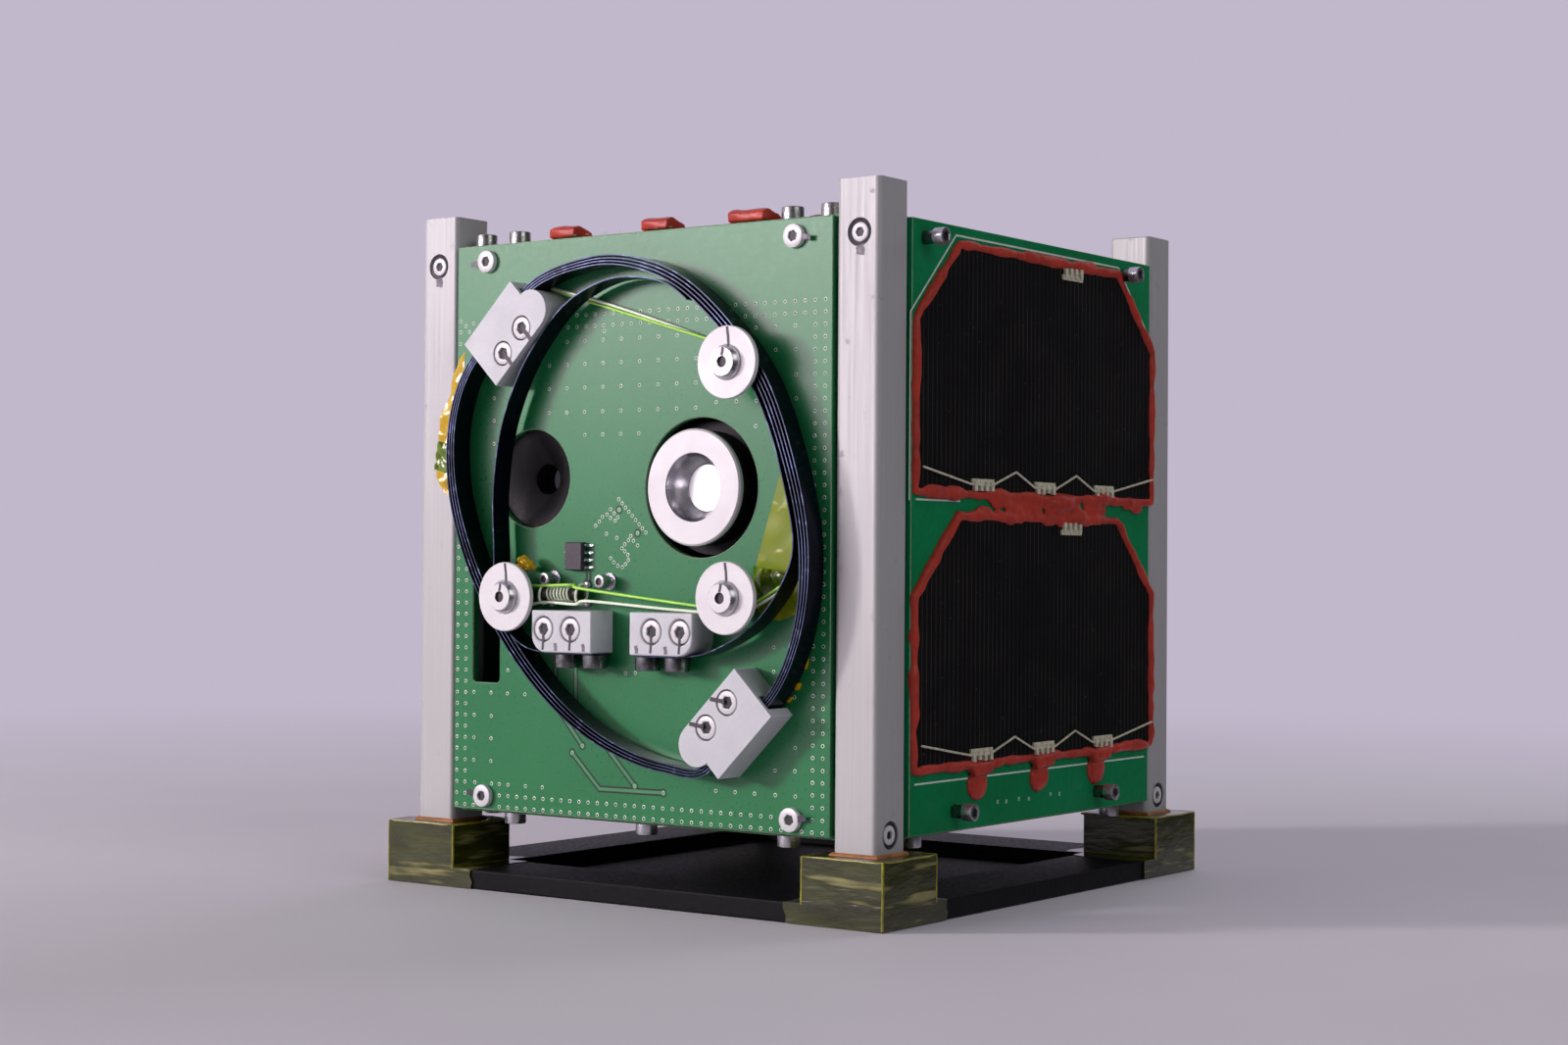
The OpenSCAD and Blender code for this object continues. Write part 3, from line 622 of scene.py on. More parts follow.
# Glossy rays see the table's right part in the room's shade colour: painted shade, shown only in reflections.
shaded, glowing = mirroredRoom(tree, rays, spot, 0.02, 0.1)
share = addNode(tree, "Math", {0: fade, 1: shown}, operation="MULTIPLY")
share = addNode(tree, "Math", {0: share, 1: shaded}, operation="MAXIMUM")
glow = addNode(tree, "Emission", {"Color": glowing, "Strength": 1.0})
mix = addNode(tree, "MixShader", {"Fac": share, 1: tree.nodes["Principled BSDF"], 2: glow})
setInputs(tree, tree.nodes["Material Output"], {"Surface": mix})

floorMesh = bpy.data.meshes.new("floor")
reach = table["reach"]
floorMesh.from_pydata([(-reach, -reach, 0), (reach, -reach, 0), (reach, reach, 0), (-reach, reach, 0)],
                      [], [(0, 1, 2, 3)])
floorMesh.materials.append(paleTable)
linkObject("floor", floorMesh)
print("studio: camera, lamps, backdrop and table are set")

signs = [(sx, sy) for sx in (-1, 1) for sy in (-1, 1)]


def stepAlong(corners, length):
    steps = []
    for (x0, z0), (x1, z1) in zip(corners, corners[1:] + corners[:1]):
        count = max(1, round(math.hypot(x1 - x0, z1 - z0) / length))
        steps += [(x0 + (x1 - x0) * k / count, z0 + (z1 - z0) * k / count) for k in range(count)]
    return steps


def squareOf(low, high):
    return [(low, low), (high, low), (high, high), (low, high)]


# The stand: a low square tray and four sockets wrapped in film, which runs on along the bars beside them.
stand = {"half": 53.4, "out": 53.6, "socket": 15.4, "top": 11.1}
easedCopy("stand_base", "standBase", [standPlastic], ease=0.35, steps=3)
# The sockets' eased edges take the fold finish: a painted highlight along them.
easedCopy("stand_sockets", "standSockets", [oliveFilm, filmFold], ease=0.3, edgeFinish=1)
low, high = stand["half"] - stand["socket"], stand["out"]
draw = random.Random(11)
bm = bmesh.new()
for turn in (0, 90, 180, 270):
    for side in (-1, 1):
        run = draw.uniform(3.5, 6.5)
        wrap = [(low - run * draw.uniform(0.75, 1), z) for z in (0.1, 1.2, 2.3, 3.5)]
        wrap += [(low - 0.15, 3.5), (low - 0.15, 11.0), (high + 0.1, 11.0), (high + 0.1, 0.1)]
        addSlab(bm, [(side * x, z) for x, z in wrap], stand["half"] + 0.1, high + 0.15, turn)
        over = [(low - run * draw.uniform(0.7, 1), out) for out in (38.4, 41.5, 45, 49, 53.4)]
        over += [(low + 1, 53.4), (low + 1, 38.4)]
        addLoft(bm, [[onFace(turn, side * x, z, out) for x, out in over] for z in (3.3, 3.52)])
finishPiece("filmWraps", bm, [oliveFilm])
# Thin beads along each socket's edges in the fold finish: painted highlights where the film turns over an
# edge.
bm = bmesh.new()
for sx, sy in signs:
    addTube(bm, [point(sx * x, sy * y, stand["top"] - draw.uniform(0.08, 0.24))
                 for x, y in stepAlong(squareOf(low, high), 2.6)], 0.2, 7, loop=True)
    for x, y, bottom in ((high, low, 3.3), (low, high, 3.3), (high, high, 0.3)):
        addTube(bm, [point(sx * (x + draw.uniform(-0.05, 0.05)), sy * (y + draw.uniform(-0.05, 0.05)), z)
                     for z in span(bottom, stand["top"] - 0.1, 6)], 0.24, 7)
finishPiece("filmEdges", bm, [filmFold], 60)
foot = {"inner": 41.5, "outer": 50.0, "seam": 0.5}
bm = bmesh.new()
for sx, sy in signs:
    rings = []
    for grow, z in ((0.0, 10.9), (foot["seam"], 10.9), (foot["seam"] * 0.8, 11.25), (0.05, 11.6)):
        low, high = foot["inner"] - grow, foot["outer"] + grow
        rings.append([point(sx * x, sy * y, z) for x, y in squareOf(low, high)])
    addLoft(bm, rings, loop=True)
finishPiece("railSeams", bm, [amberSeam])

for rail in ("rail_front_left", "rail_front_right", "rail_back_left", "rail_back_right"):
    easedCopy(rail, rail + "_milled", [satinAluminium], ease=0.2, angle=40)
for frameRing in ("top_frame", "bottom_frame"):
    easedCopy(frameRing, frameRing + "_milled", [satinAluminium], ease=0.2)
finishNode("inner_stack", stackBlack)
print("stand and rails: eased copies stand in their sockets")

# Boards: masked all over, with the laminate bare along their eased edges.
easedCopy("antenna_board", "antennaBoard", [antennaMask, laminateEdge], ease=0.2, steps=1, edgeFinish=1)
for node, name in (("solar_board_right", "solarBoardRight"), ("solar_board_left", "solarBoardLeft"),
                   ("solar_board_back", "solarBoardBack"), ("top_board", "topBoard"),
                   ("bottom_board", "bottomBoard")):
    easedCopy(node, name, [solarMask, laminateEdge], ease=0.1, steps=1, edgeFinish=1)
print("boards: masked faces and bare edges are done")

# Clamps, and where things stand on the antenna face.
face = {"board": 50.3, "clamp": 56.3, "middle": 64.7}
clamp = {"corner": (26.2, 40.8), "turn": 45, "screws": [(5, 2.9), (11, 2.9)], "groove": 7.6, "long": 15}
midClamp = {"screws": [8.85, 14.85], "z": 46.4, "tapeScrews": [5.8, 12], "foot": 42.4}
posts = [(24.4, 90.7), (-23.6, 51.8), (24.3, 52.2)]
board, clampFace = face["board"], face["clamp"]


def halfTurn(p):
    return Vector((-p[0], 2 * face["middle"] - p[1]))


def onClamp(u, v):
    spin = math.radians(-90 - clamp["turn"])
    x, z = clamp["corner"]
    return Vector((x + u * math.cos(spin) - v * math.sin(spin), z + u * math.sin(spin) + v * math.cos(spin)))


for corner in ("clamp_upper_left", "clamp_lower_right", "clamp_mid_left", "clamp_mid_right"):
    easedCopy(corner, corner + "_milled", [milledAcetal], ease=0.25, steps=3)

clampSpots = [onClamp(*uv) for uv in clamp["screws"]]
clampSpots += [halfTurn(p) for p in clampSpots]
clampSpots += [Vector((side * x, midClamp["z"])) for side in (-1, 1) for x in midClamp["screws"]]
addHeads("clampScrews", spotsOn(clampSpots, clampFace - 2), (1.95, 1.95, 0.95, 1.2), turnedAluminium,
         "clamp_screws")
addHeads("tapeScrews", [(onFace(0, side * x, midClamp["foot"] - 0.35, 53.2), (0, 0, -1))
                        for side in (-1, 1) for x in midClamp["tapeScrews"]],
         (2.2, 2.3, 1.1, 1.4), darkPlatedSteel, "tape_screws")

# Line posts: a stand-off, a wide washer and a low conical screw.
post = {"washer": 6.0, "thick": 0.9, "foot": 55.7, "head": 56.6, "rise": 1.3, "cone": 2.95, "flat": 2.3}
easedCopy("line_posts", "linePosts", [darkPlatedSteel])
wide, thick, rise, cone, flat = [post[key] for key in ("washer", "thick", "rise", "cone", "flat")]
onHead = spotsOn(posts, post["head"])
washer = [(2.5, 0), (2.5, thick), (wide - 0.15, thick), (wide, thick - 0.15), (wide, 0.12), (wide - 0.12, 0)]
placeCopies("postWashers", washer, spotsOn(posts, post["foot"]), turnedAluminium, 64, True, "post_washers")
screw = [(1, 0), (1, rise - 0.9), (0.95, rise), (flat, rise), (flat + 0.1, rise - 0.1), (cone, 0.25),
         (cone, 0)]
placeCopies("postScrews", screw, onHead, stainlessSteel, 48, True, "post_screws")
disc = [(1, 0), (1, 0.02), (flat - 0.05, 0.02), (flat - 0.05, 0)]
placeCopies("postScrewFaces", disc, spotsOn(posts, post["head"] + rise), turnedAluminium, 48, True)
plug = [(0.02, 0.1), (1.02, 0.1), (1.02, rise - 0.45), (0.02, rise - 0.45)]
placeCopies("postScrewSockets", plug, onHead, socketShade)
print("clamps and posts: milled blocks, heads and washers are placed")

# Screws round the body, one family at a time: radius, height, socket and its depth.
seats = {"rail": 48.7, "side": board + 2.2, "top": 114.6, "bottom": 13.3, "out": 46}
railSpots = []
for turn in (0, 90, 180, 270):
    level = 14.5 if turn % 180 else 111.2
    railSpots += spotsOn([(-46, level), (46, level)], seats["rail"], [turn])
addHeads("railScrews", railSpots, (1.6, 1.2, 0.7, 0.9), turnedAluminium, "rail_screws")
# A dark ring fills each rail screw's recess round its head: painted shade of the deep gap, in the marker ink
# finish.
recess = [(1.55, 0.05), (1.55, 0.8), (2.27, 1.0), (2.27, 0.05)]
placeCopies("railRecessPaint", recess, railSpots, markerInkAndShade, 32, True)
addHeads("boardScrews", spotsOn([(x, z) for x in (-33.6, 33.6) for z in (16.3, 111.3)], board),
         (2.0, 0.9, 0.8, 0.7), turnedAluminium, "board_screws")
sideSpots = spotsOn([(-37.3, 111.3), (29.6, 111.3), (-27.4, 17), (21, 17)], seats["side"], (90, 180, 270))
addHeads("sideScrews", sideSpots, (1.45, 2.0, 0.8, 1.2), stainlessSteel, "side_screws")
spacer = [(0.6, -2.2), (1.15, -2.2), (1.15, -0.1), (0.95, 0), (0.6, 0)]
placeCopies("sideSpacers", spacer, sideSpots, darkPlatedSteel, 20, True)
addHeads("topScrews", spotsOn([(sx * x, sy * seats["out"]) for sx, sy in signs for x in (30, 38)],
                              seats["top"], ["top"]), (1.9, 2.2, 0.95, 1.3), platedSteel, "top_screws")
under = [(x, sy * seats["out"]) for sy in (-1, 1) for x in (-30, 0, 30)]
under += [(sx * seats["out"], y) for sx in (-1, 1) for y in (-34, 34)]
addHeads("bottomScrews", [(point(x, y, seats["bottom"]), (0, 0, -1)) for x, y in under],
         (1.9, 2.0, 0.95, 1.2), stainlessSteel, "bottom_screws")
terminals = [(-17.5, 54.9), (-5, 54.6)]
addHeads("terminalScrews", spotsOn(terminals, board + 1.4), (1.2, 1.7, 0.55, 0.9), platedSteel,
         "terminal_screws")
pillar = [(0.5, 0), (1.5, 0), (1.5, 0.3), (1.0, 0.5), (1.0, 1.4), (0.5, 1.4)]
placeCopies("terminalPillars", pillar, spotsOn(terminals, board), brightSolder, 20, True)
print("screws: ten families are placed")

# The two cameras: a black cone, and a silver ring on a black barrel.
ring = {"at": (14.5, 70.5), "back": 47.0, "front": 52.5, "outer": 9.8, "mouth": 5.8, "glass": 4.0,
        "deep": 4.0}
hood = {"at": (-22.9, 72.5), "rim": 8.45, "pupil": 2.7, "deep": 2.8, "flat": 0.35}


# A turned piece without caps: each of its bands of (radius, height) pairs has its own finish.
def addTurnedBands(name, at, back, bands, finishes, node, sides=96):
    bm = bmesh.new()
    place = Matrix.Translation(onFace(0, *at, back)) @ faceFrame(0)
    for finish, band in enumerate(bands):
        circles = [[bm.verts.new(place @ point(r * math.cos(a), r * math.sin(a), h)) for a in roundWay(sides)]
                   for r, h in band]
        for low, up in zip(circles, circles[1:]):
            for k in range(sides):
                j = (k + 1) % sides
                bm.faces.new((low[k], low[j], up[j], up[k])).material_index = finish
    bmesh.ops.remove_doubles(bm, verts=bm.verts, dist=1e-6)
    finishPiece(name, bm, finishes, 25, node)


high, outer, mouth, glass = ring["front"] - ring["back"], ring["outer"], ring["mouth"], ring["glass"]
outside = [(mouth, high), (outer - 0.3, high), (outer, high - 0.3), (outer, high - 1.0),
           (outer - 0.2, high - 1.1)]
sleeve = [(outer - 0.2, high - 1.1), (outer - 0.2, 0), (glass, 0), (glass, high - ring["deep"])]
bore = [(glass, high - ring["deep"]), (mouth - 0.12, high - 0.1), (mouth, high)]
addTurnedBands("lensRing", ring["at"], ring["back"], [outside, sleeve, bore],
               [turnedAluminium, blackAnodised, polishedAluminium], "lens_ring")
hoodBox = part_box("camera_hood")
hoodFront, hoodBack = -hoodBox[0][1] / mm, -hoodBox[1][1] / mm
high, rim, pupil = hoodFront - hoodBack, hood["rim"], hood["pupil"]
wall = [(rim, high), (rim, 0), (pupil, 0), (pupil, high - hood["deep"])]
cup = [(pupil, high - hood["deep"]), (pupil + 0.25, high - hood["deep"] + 0.25), (5.4, high - 1.2),
       (rim - hood["flat"], high), (rim, high)]
addTurnedBands("cameraHood", hood["at"], hoodBack, [wall, cup], [blackAnodised, blackAnodised], "camera_hood")
easedCopy("camera_glass", "cameraGlass", [lensGlass], ease=0.1, steps=1)
easedCopy("lens_barrel", "lensBarrel", [blackAnodised])
easedCopy("lens_glass", "lensGlassGround", [opalGlass], ease=0.1, steps=1)
print("cameras: cone, ring and glasses are done")

# The way of the wound tapes round the face, as in the frame, and each tape's layers along it.
tape = {"back": 51.1, "front": 55.3, "thick": 0.2, "pitch": 0.45, "spread": 0.6, "knot": 12,
        "innermost": -2.75}
knot, innermost = tape["knot"], tape["innermost"]
groove = clamp["groove"] * Vector((math.cos(math.radians(45)), -math.sin(math.radians(45))))
along = Vector((math.cos(math.radians(clamp["turn"])), math.sin(math.radians(clamp["turn"]))))
grooveIn = Vector(clamp["corner"]) + groove
grooveOut = grooveIn - clamp["long"] * along
overTop = [halfTurn(grooveOut), (-6.5, 109.3), (6.7, 107.8), (18, 101.6), (29.5, 89.2), (35.8, 75),
           (39, 60.5), (37.6, 46.5), grooveIn]
underBottom = [grooveOut, (10.6, 23.7), (-2.5, 27.4), (-14.2, 34.6), (-24.9, 45.5), (-32.9, 58.2),
               (-37.3, 71.4), (-37, 84), halfTurn(grooveIn)]
way = smoothWay(overTop, 13 * along, -13 * along, knot)
way += smoothWay(underBottom, -13 * along, 13 * along, knot)
half = len(way) // 2


def wayAt(i, layer):
    i %= len(way)
    ahead = (way[(i + 1) % len(way)] - way[i - 1]).normalized()
    loose = math.sin(math.pi * (i % half) / (half - 1)) ** 2
    return way[i] + Vector((-ahead.y, ahead.x)) * layer * tape["pitch"] * (1 + tape["spread"] * loose)


def longTape(start):
    inGroove = (way[start - 1] + way[start]) / 2
    outward = (wayAt(start, 1) - way[start]).normalized() * tape["pitch"]
    turns = [wayAt(start + i, -2 + 2 * i / len(way)) for i in range(2 * len(way))]
    return [inGroove - 2 * outward] + turns + [inGroove + 2 * outward]


leftRun = [(-4.6, 42.25), (-10, 42.25), (-15, 42.32), (-20.4, 43.4), (-24.8, 46.9), (-27, 52.4), (-27.3, 60),
           (-27.6, 70), (-26, 80.8), (-22, 90.2), (-16.8, 97.2), (-11.2, 102.3), (-4.4, 105.3), (2, 106.1),
           wayAt(2 * knot + 4, innermost), wayAt(3 * knot - 2, innermost)]
rightRun = [(4.6, 42.25), (10, 42.25), (15, 42.32), (20.6, 43.4), (28.6, 47.5), (34.4, 54), (37, 61.5),
            wayAt(5 * knot, innermost), wayAt(4 * knot + 6, innermost), wayAt(4 * knot, innermost)]


for name, points, node in (("Upper", longTape(0), "upper"), ("Lower", longTape(half), "lower"),
                           ("Left", smoothWay(leftRun, (-6, 0), (5, -4)), "left"),
                           ("Right", smoothWay(rightRun, (6, 0), (-3, 5)), "right")):
    bm = bmesh.new()
    rings = []
    for i, here in enumerate(points):
        ahead = aheadAt(points, i)
        side = Vector((-ahead.y, ahead.x)) * tape["thick"] / 2
        rings.append(acrossStrip(here + side, here - side, tape["back"], tape["front"]))
    addLoft(bm, rings, materials=[1, 0, 1, 0])
    finishPiece("antennaTape" + name, bm, [bluedSteel, slitEdgeAndHighlights], 50, "antenna_tape_" + node)
print("antennas: four tapes are wound")

# Hold-down lines: a clear and a green strand side by side, slowly twisted.
line = {"thick": 0.27, "apart": 0.3, "low": 53.8, "high": 51.0, "post": 2.3}


def makeStrands(name, routes, finish, phase, node=None):
    bm = bmesh.new()
    for points, out, twist in routes:
        path = []
        for i, p in enumerate(points):
            ahead = aheadAt(points, i)
            angle = phase + twist * i
            aside = Vector((-ahead.y, ahead.x)) * math.sin(angle) * line["apart"]
            path.append(onFace(0, p.x + aside.x, p.y + aside.y, out + line["apart"] * 0.6 * math.cos(angle)))
        addTube(bm, path, line["thick"], 7)
    finishPiece(name, bm, [finish], 80, node)


upper = smoothWay([(-19, 105.7), (-8, 102.7), (3, 99.4), (14, 96), (22.5, 93.3)]
                  + arc(*posts[0], line["post"], 75, -100, 6), steps=4)
aroundLeft = arc(*posts[1], line["post"], 285, 80)
lower = smoothWay([(33.6, 53.4), (27, 50.3), (23.9, 49.9), (11.5, 50.4), (-4.3, 51.4), (-8.6, 51.4),
                   (-10, 50.75), (-17.4, 50.9)] + aroundLeft[:5], steps=4)
over = smoothWay(aroundLeft[4:] + [(-17, 54), (-10, 54.1), (-8.6, 53.4), (11.5, 51.2), (24.2, 50),
                                   (27.3, 50.6), (33.9, 54)], steps=4)
makeStrands("clearLine", [(upper, line["high"], 0.22), (lower, line["low"], 0.1)], clearNylon, 0.4,
            "hold_down_lines")
makeStrands("greenLine", [(upper, line["high"], 0.22), (over, line["low"], 0.1)], greenNylon, 3.5)

# The line cutter: a dark resistor with bright turns between two caps, held by loops of line.
cutter = {"middle": (-13.9, 52.6, 52.4), "long": 8.6, "radius": 1.2, "turns": 7.5}
centre = Vector(cutter["middle"])
long, radius = cutter["long"], cutter["radius"]
along = Matrix.Translation(point(centre.x - long / 2, -centre.y, centre.z))
along = along @ Matrix.Rotation(math.radians(90), 4, "Y")
bm = bmesh.new()
cap = [(0.05, 0), (radius - 0.25, 0.05), (radius, 0.35), (radius, 1.0), (radius - 0.2, 1.25)]
addTurned(bm, cap + [(r, long - h) for r, h in reversed(cap)], 28, along)
finishPiece("cutterResistor", bm, [darkEnamel], 40, "cutter_resistor")
steps = 16 * cutter["turns"]
coil = []
for k in range(int(steps) + 1):
    angle = 2 * math.pi * k / 16
    coil.append(along @ point((radius + 0.1) * math.cos(angle), (radius + 0.1) * math.sin(angle),
                              1.5 + (long - 3) * k / steps))
bm = bmesh.new()
addTube(bm, coil, 0.17, 6)
finishPiece("cutterCoil", bm, [clearNylon], 80)
bm = bmesh.new()
for x in (-17.7, -9.4):
    loop = [onFace(0, x + 0.25 * math.sin(a), centre.z + 1.75 * math.sin(a), centre.y + 1.55 * math.cos(a))
            for a in roundWay(24)]
    addTube(bm, loop, 0.24, 7, loop=True)
finishPiece("cutterLoops", bm, [clearNylon], 80)
bm = bmesh.new()
for x in (centre.x - long / 2 + 0.4, centre.x + long / 2 - 0.4):
    for z in (centre.z - 1.6, centre.z + 1.6):
        addLump(bm, x, z, board + 0.2, (0.9, 0.8, 0.5))
    addTube(bm, [onFace(0, x, centre.z, out) for out in (board + 0.1, 51.4, 52)], 0.35)
finishPiece("cutterJoints", bm, [brightSolder], 60)

# The driver chip: a bevelled block on eight bent leads, each on its solder pad.
chip = {"at": (-12, 58.9), "wide": 3.9, "tall": 4.9, "foot": 0.15, "top": 1.65, "pitch": 1.27}
x, z = chip["at"]
w, h, top = chip["wide"] / 2, chip["tall"] / 2, chip["top"]
bm = bmesh.new()
addLoft(bm, [[onFace(0, x + sx * (w - pull), z + sz * (h - pull), board + out)
              for sx, sz in ((-1, -1), (1, -1), (1, 1), (-1, 1))]
             for pull, out in ((0.12, chip["foot"]), (0, 0.85), (0.12, top - 0.06), (0.2, top))])
finishPiece("driverChip", bm, [mouldedEpoxy], 30, "driver_chip")
bm = bmesh.new()
for side in (-1, 1):
    for k in range(4):
        level = z + (k - 1.5) * chip["pitch"]
        addLoft(bm, [[onFace(0, x + side * (w + reachOut), level + dz, board + out + dy)
                      for dz, dy in ((-0.21, -0.08), (0.21, -0.08), (0.21, 0.1), (-0.21, 0.1))]
                     for reachOut, out in ((-0.1, 0.85), (0.3, 0.85), (0.55, 0.2), (1.05, 0.12))])
        addLump(bm, x + side * (w + 0.75), level, board + 0.05, (0.75, 0.34, 0.12))
finishPiece("chipLeads", bm, [brightSolder], 40)
print("line cutter: lines, resistor and driver are in place")


# Plated holes over the antenna face, in the rows and the grid that the board has.
def rows(levels, along):
    return [(x, z) for z in levels for x in along]


def columns(places, up):
    return [(x, z) for x in places for z in up]


vias = rows((14.5, 16.5), span(-40.3, 39.7, 40)) + columns((-40.3, -38.3), span(18.5, 60.5, 22))
vias += columns((37.7, 39.7), span(18.5, 96.7, 40)) + rows((98.7, 100.7), span(-14.9, 39.7, 28))
vias += rows([96.7], (25.7, 29.7, 33.7)) + rows((83.9, 88.1, 92.2, 96.2), span(-19.1, 13.3, 9))
vias += rows([79.9], (-10.9, -6.9, -2.9, 1.1))
vias += [(17.6, 84.7), (21.8, 84.7), (25.9, 84.7), (25.8, 80.5), (29.8, 92.9), (33.8, 92.8), (33.9, 88.7),
         (34, 84.8)]
vias += [(-6.7, 97.7), (-32, 86.9), (-32, 82.9), (-32, 78.8), (-28.3, 42.7), (-28.3, 38.7), (-24.3, 38.7)]
vias += rows([34.6], (-36.3, -32.2, -28.3, -24.2)) + columns((-36.2, -32.1), (22.5, 26.5, 30.5))
vias += rows([18.5], (-35.9, -33.9, -31.9, -30.1, -28, -23.9, -20))
vias += rows([20.1], (18.1, 22.1, 26.1, 30.3, 34.3))
vias += [(30.2, 24.1), (34.2, 24.2), (34.2, 28), (34, 36.2), (29.8, 40.2), (29.8, 44.2), (-1.4, 39),
         (0.7, 39.1)]
vias += [(-37.1, 100.5), (-39, 100.1), (-40.2, 101), (-40.2, 99), (-38.1, 99), (-40.2, 96.9)]
vias += [(-8.3, 64.2), (-7.5, 64.9), (-6.8, 65.7), (-5.8, 66.1), (-5, 67)]    # a fence round two signal holes
vias += [(-4.2, 66.3), (-3.4, 65.6), (-4, 65), (-5, 65.5), (-5.9, 62.8), (-3.6, 62.1)]
vias += list(zip(span(-3.2, 2.8, 9), span(68.7, 63, 9)))
vias += [(-0.5, 62.4), (0.1, 61.6), (1, 60.8), (-1, 61.7), (-1.8, 61), (-2.4, 60.3), (-1.8, 59.8),
         (-1.1, 59.2), (-1, 58.3), (-1.6, 57.6), (-2.3, 57.1), (-3.3, 57.3), (-4.2, 57.9), (-4.9, 58.6)]
ringed = [(-3.1, 66.9), (1, 62.9), (-10.9, 26.2), (0.8, 19.9), (-13.2, 24.9), (7, 19.1)]    # each has a pad


def clearOfOpenings(spot):
    x, z = spot
    hoodAway, ringAway = [math.hypot(x - at[0], z - at[1]) for at in (hood["at"], ring["at"])]
    inSlot = -37.2 < x < -29.7 and 36 < z < 56.4
    screwAway = min(math.hypot(x - sx * 33.6, z - sz) for sx in (-1, 1) for sz in (16.3, 111.3))
    return hoodAway > 9.4 and ringAway > 12.4 and not inSlot and screwAway > 2.4


viaRim = [(0.21, 0.0), (0.22, 0.03), (0.27, 0.035), (0.34, 0.0)]
spots = spotsOn([spot for spot in vias if clearOfOpenings(spot)] + ringed, board)
placeCopies("viaRims", viaRim, spots, tinnedRim, 12, True)
placeCopies("viaHoles", [(0.02, 0.004), (0.24, 0.004), (0.22, 0.02), (0.02, 0.02)], spots, holeShade, 10)

# Traces: a lighter ridge over copper between two dark gaps.
trace = {"wide": 0.55, "gap": 1.15, "chip": 0.5}
runs = [[(-17.2, 44), (-17.1, 33), (-10.9, 26.2)], [(-12.6, 44), (-12.5, 33.1), (0.8, 19.9)],
        [(-13.2, 24.9), (-7, 19), (7, 19.1)]]
chipRuns = [[(-10.2, 56.2), (-10.2, 55), (-11.4, 53.8), (-11.4, 52.4)],
            [(-9.4, 56.2), (-9.4, 54.8), (-10.4, 53.6)]]


def layTraces(name, width, radius, low, high, padLow, padHigh, finish, thin=()):
    bm = bmesh.new()
    for run in runs:
        addRibbon(bm, run, width, board + low, board + high)
    for run in thin:
        addRibbon(bm, run, trace["chip"], board + low, board + high)
    for x, z in ringed:
        addSlab(bm, arc(x, z, radius, 0, 345, 23), board + padLow, board + padHigh)
    finishPiece(name, bm, [finish])


layTraces("traceGaps", trace["gap"], 0.75, 0.004, 0.012, 0.005, 0.014, maskOnLaminate, chipRuns)
layTraces("traces", trace["wide"], 0.5, 0.01, 0.026, 0.01, 0.024, maskOnCopper)
print("antenna board: %d plated holes and the traces are laid" % len(spots))


# Marker lines across the screws, from each socket to its surroundings.
def addMark(bm, start, stop, width, out, turn=0, deep=0.03):
    middle = ((start[0] + stop[0]) / 2 + width * 0.15, (start[1] + stop[1]) / 2)
    addRibbon(bm, [start, middle, stop], width, out - 0.01, out + deep, turn)


onClampFace, onScrew = clampFace - 0.02, board + 0.86
bm = bmesh.new()
for x, z in posts:
    addMark(bm, (x + 0.1, z + 5.8), (x + 0.45, z + 2.6), 0.5, post["head"])
    addMark(bm, (x + 0.25, z + 2.3), (x, z + 1.0), 0.5, post["head"] + rise + 0.02, deep=0.02)
for number, p in enumerate(clampSpots):
    (x0, z0), (x1, z1), wide = (((-0.5, 0.1), (-3.4, 0.5), 0.7), ((0.4, -0.3), (2.4, -2.3), 0.75),
                                ((0, -0.6), (-0.1, -3.6), 0.5), ((0, -0.6), (-0.1, -3.6), 0.5))[number // 2]
    addMark(bm, (p.x + x0, p.y + z0), (p.x + x1, p.y + z1), wide, onClampFace)
for side in (-1, 1):
    addMark(bm, (side * 33.6 + side * 0.6, 16.3), (side * 33.6 + side * 3.4, 16.9), 1.0, onScrew)
finishPiece("markerLines", bm, [markerInkAndShade])
bm = bmesh.new()
for side in (-1, 1):
    addMark(bm, (side * 34.2, 111.2), (side * 37.2, 110.8), 0.9, onScrew)
for turn in (0, 180):
    for x in (-46, 46):
        addMark(bm, (x, 109.0), (x + 0.15, 107.5), 1.5, 50.0, turn)
for side in (-1, 1):
    for x in midClamp["tapeScrews"]:
        addMark(bm, (side * x - 0.2, midClamp["foot"] + 1.6), (side * x, midClamp["foot"] + 0.3), 0.7,
                onClampFace)
finishPiece("wornMarks", bm, [wornInk])
print("marker lines: drawn across the screws")


# Polyimide film: a crumpled flag outside the left tapes and a flat patch with folds at the right.
def addFilm(name, outline, out, lift, grain, finish, seed, thick=0.07):
    draw = random.Random(seed)
    shift = Vector((draw.uniform(0, 9), draw.uniform(0, 9), draw.uniform(0, 9)))
    bm = bmesh.new()
    bm.faces.new([bm.verts.new((x, z, 0)) for x, z in outline])
    bmesh.ops.triangulate(bm, faces=bm.faces)
    for cut in range(3):
        bmesh.ops.subdivide_edges(bm, edges=bm.edges, cuts=1, use_grid_fill=False)
        bmesh.ops.triangulate(bm, faces=[f for f in bm.faces if len(f.verts) > 3])
    for vertex in bm.verts:
        x, z = vertex.co.x, vertex.co.y
        ripple = noise.noise(Vector((x, z, 0)) / grain + shift)
        ripple += 0.5 * noise.noise(Vector((x, z, 3)) / grain * 2.3)
        vertex.co = onFace(0, x, z, out + lift * (0.5 + ripple * 0.8))
    piece = linkObject(name, meshFrom(name, bm, [finish]))
    wall = piece.modifiers.new("wall", "SOLIDIFY")
    wall.thickness, wall.offset = thick * mm, 0
    settle(piece)
    smooth(piece.data, 30)
    seat(piece)


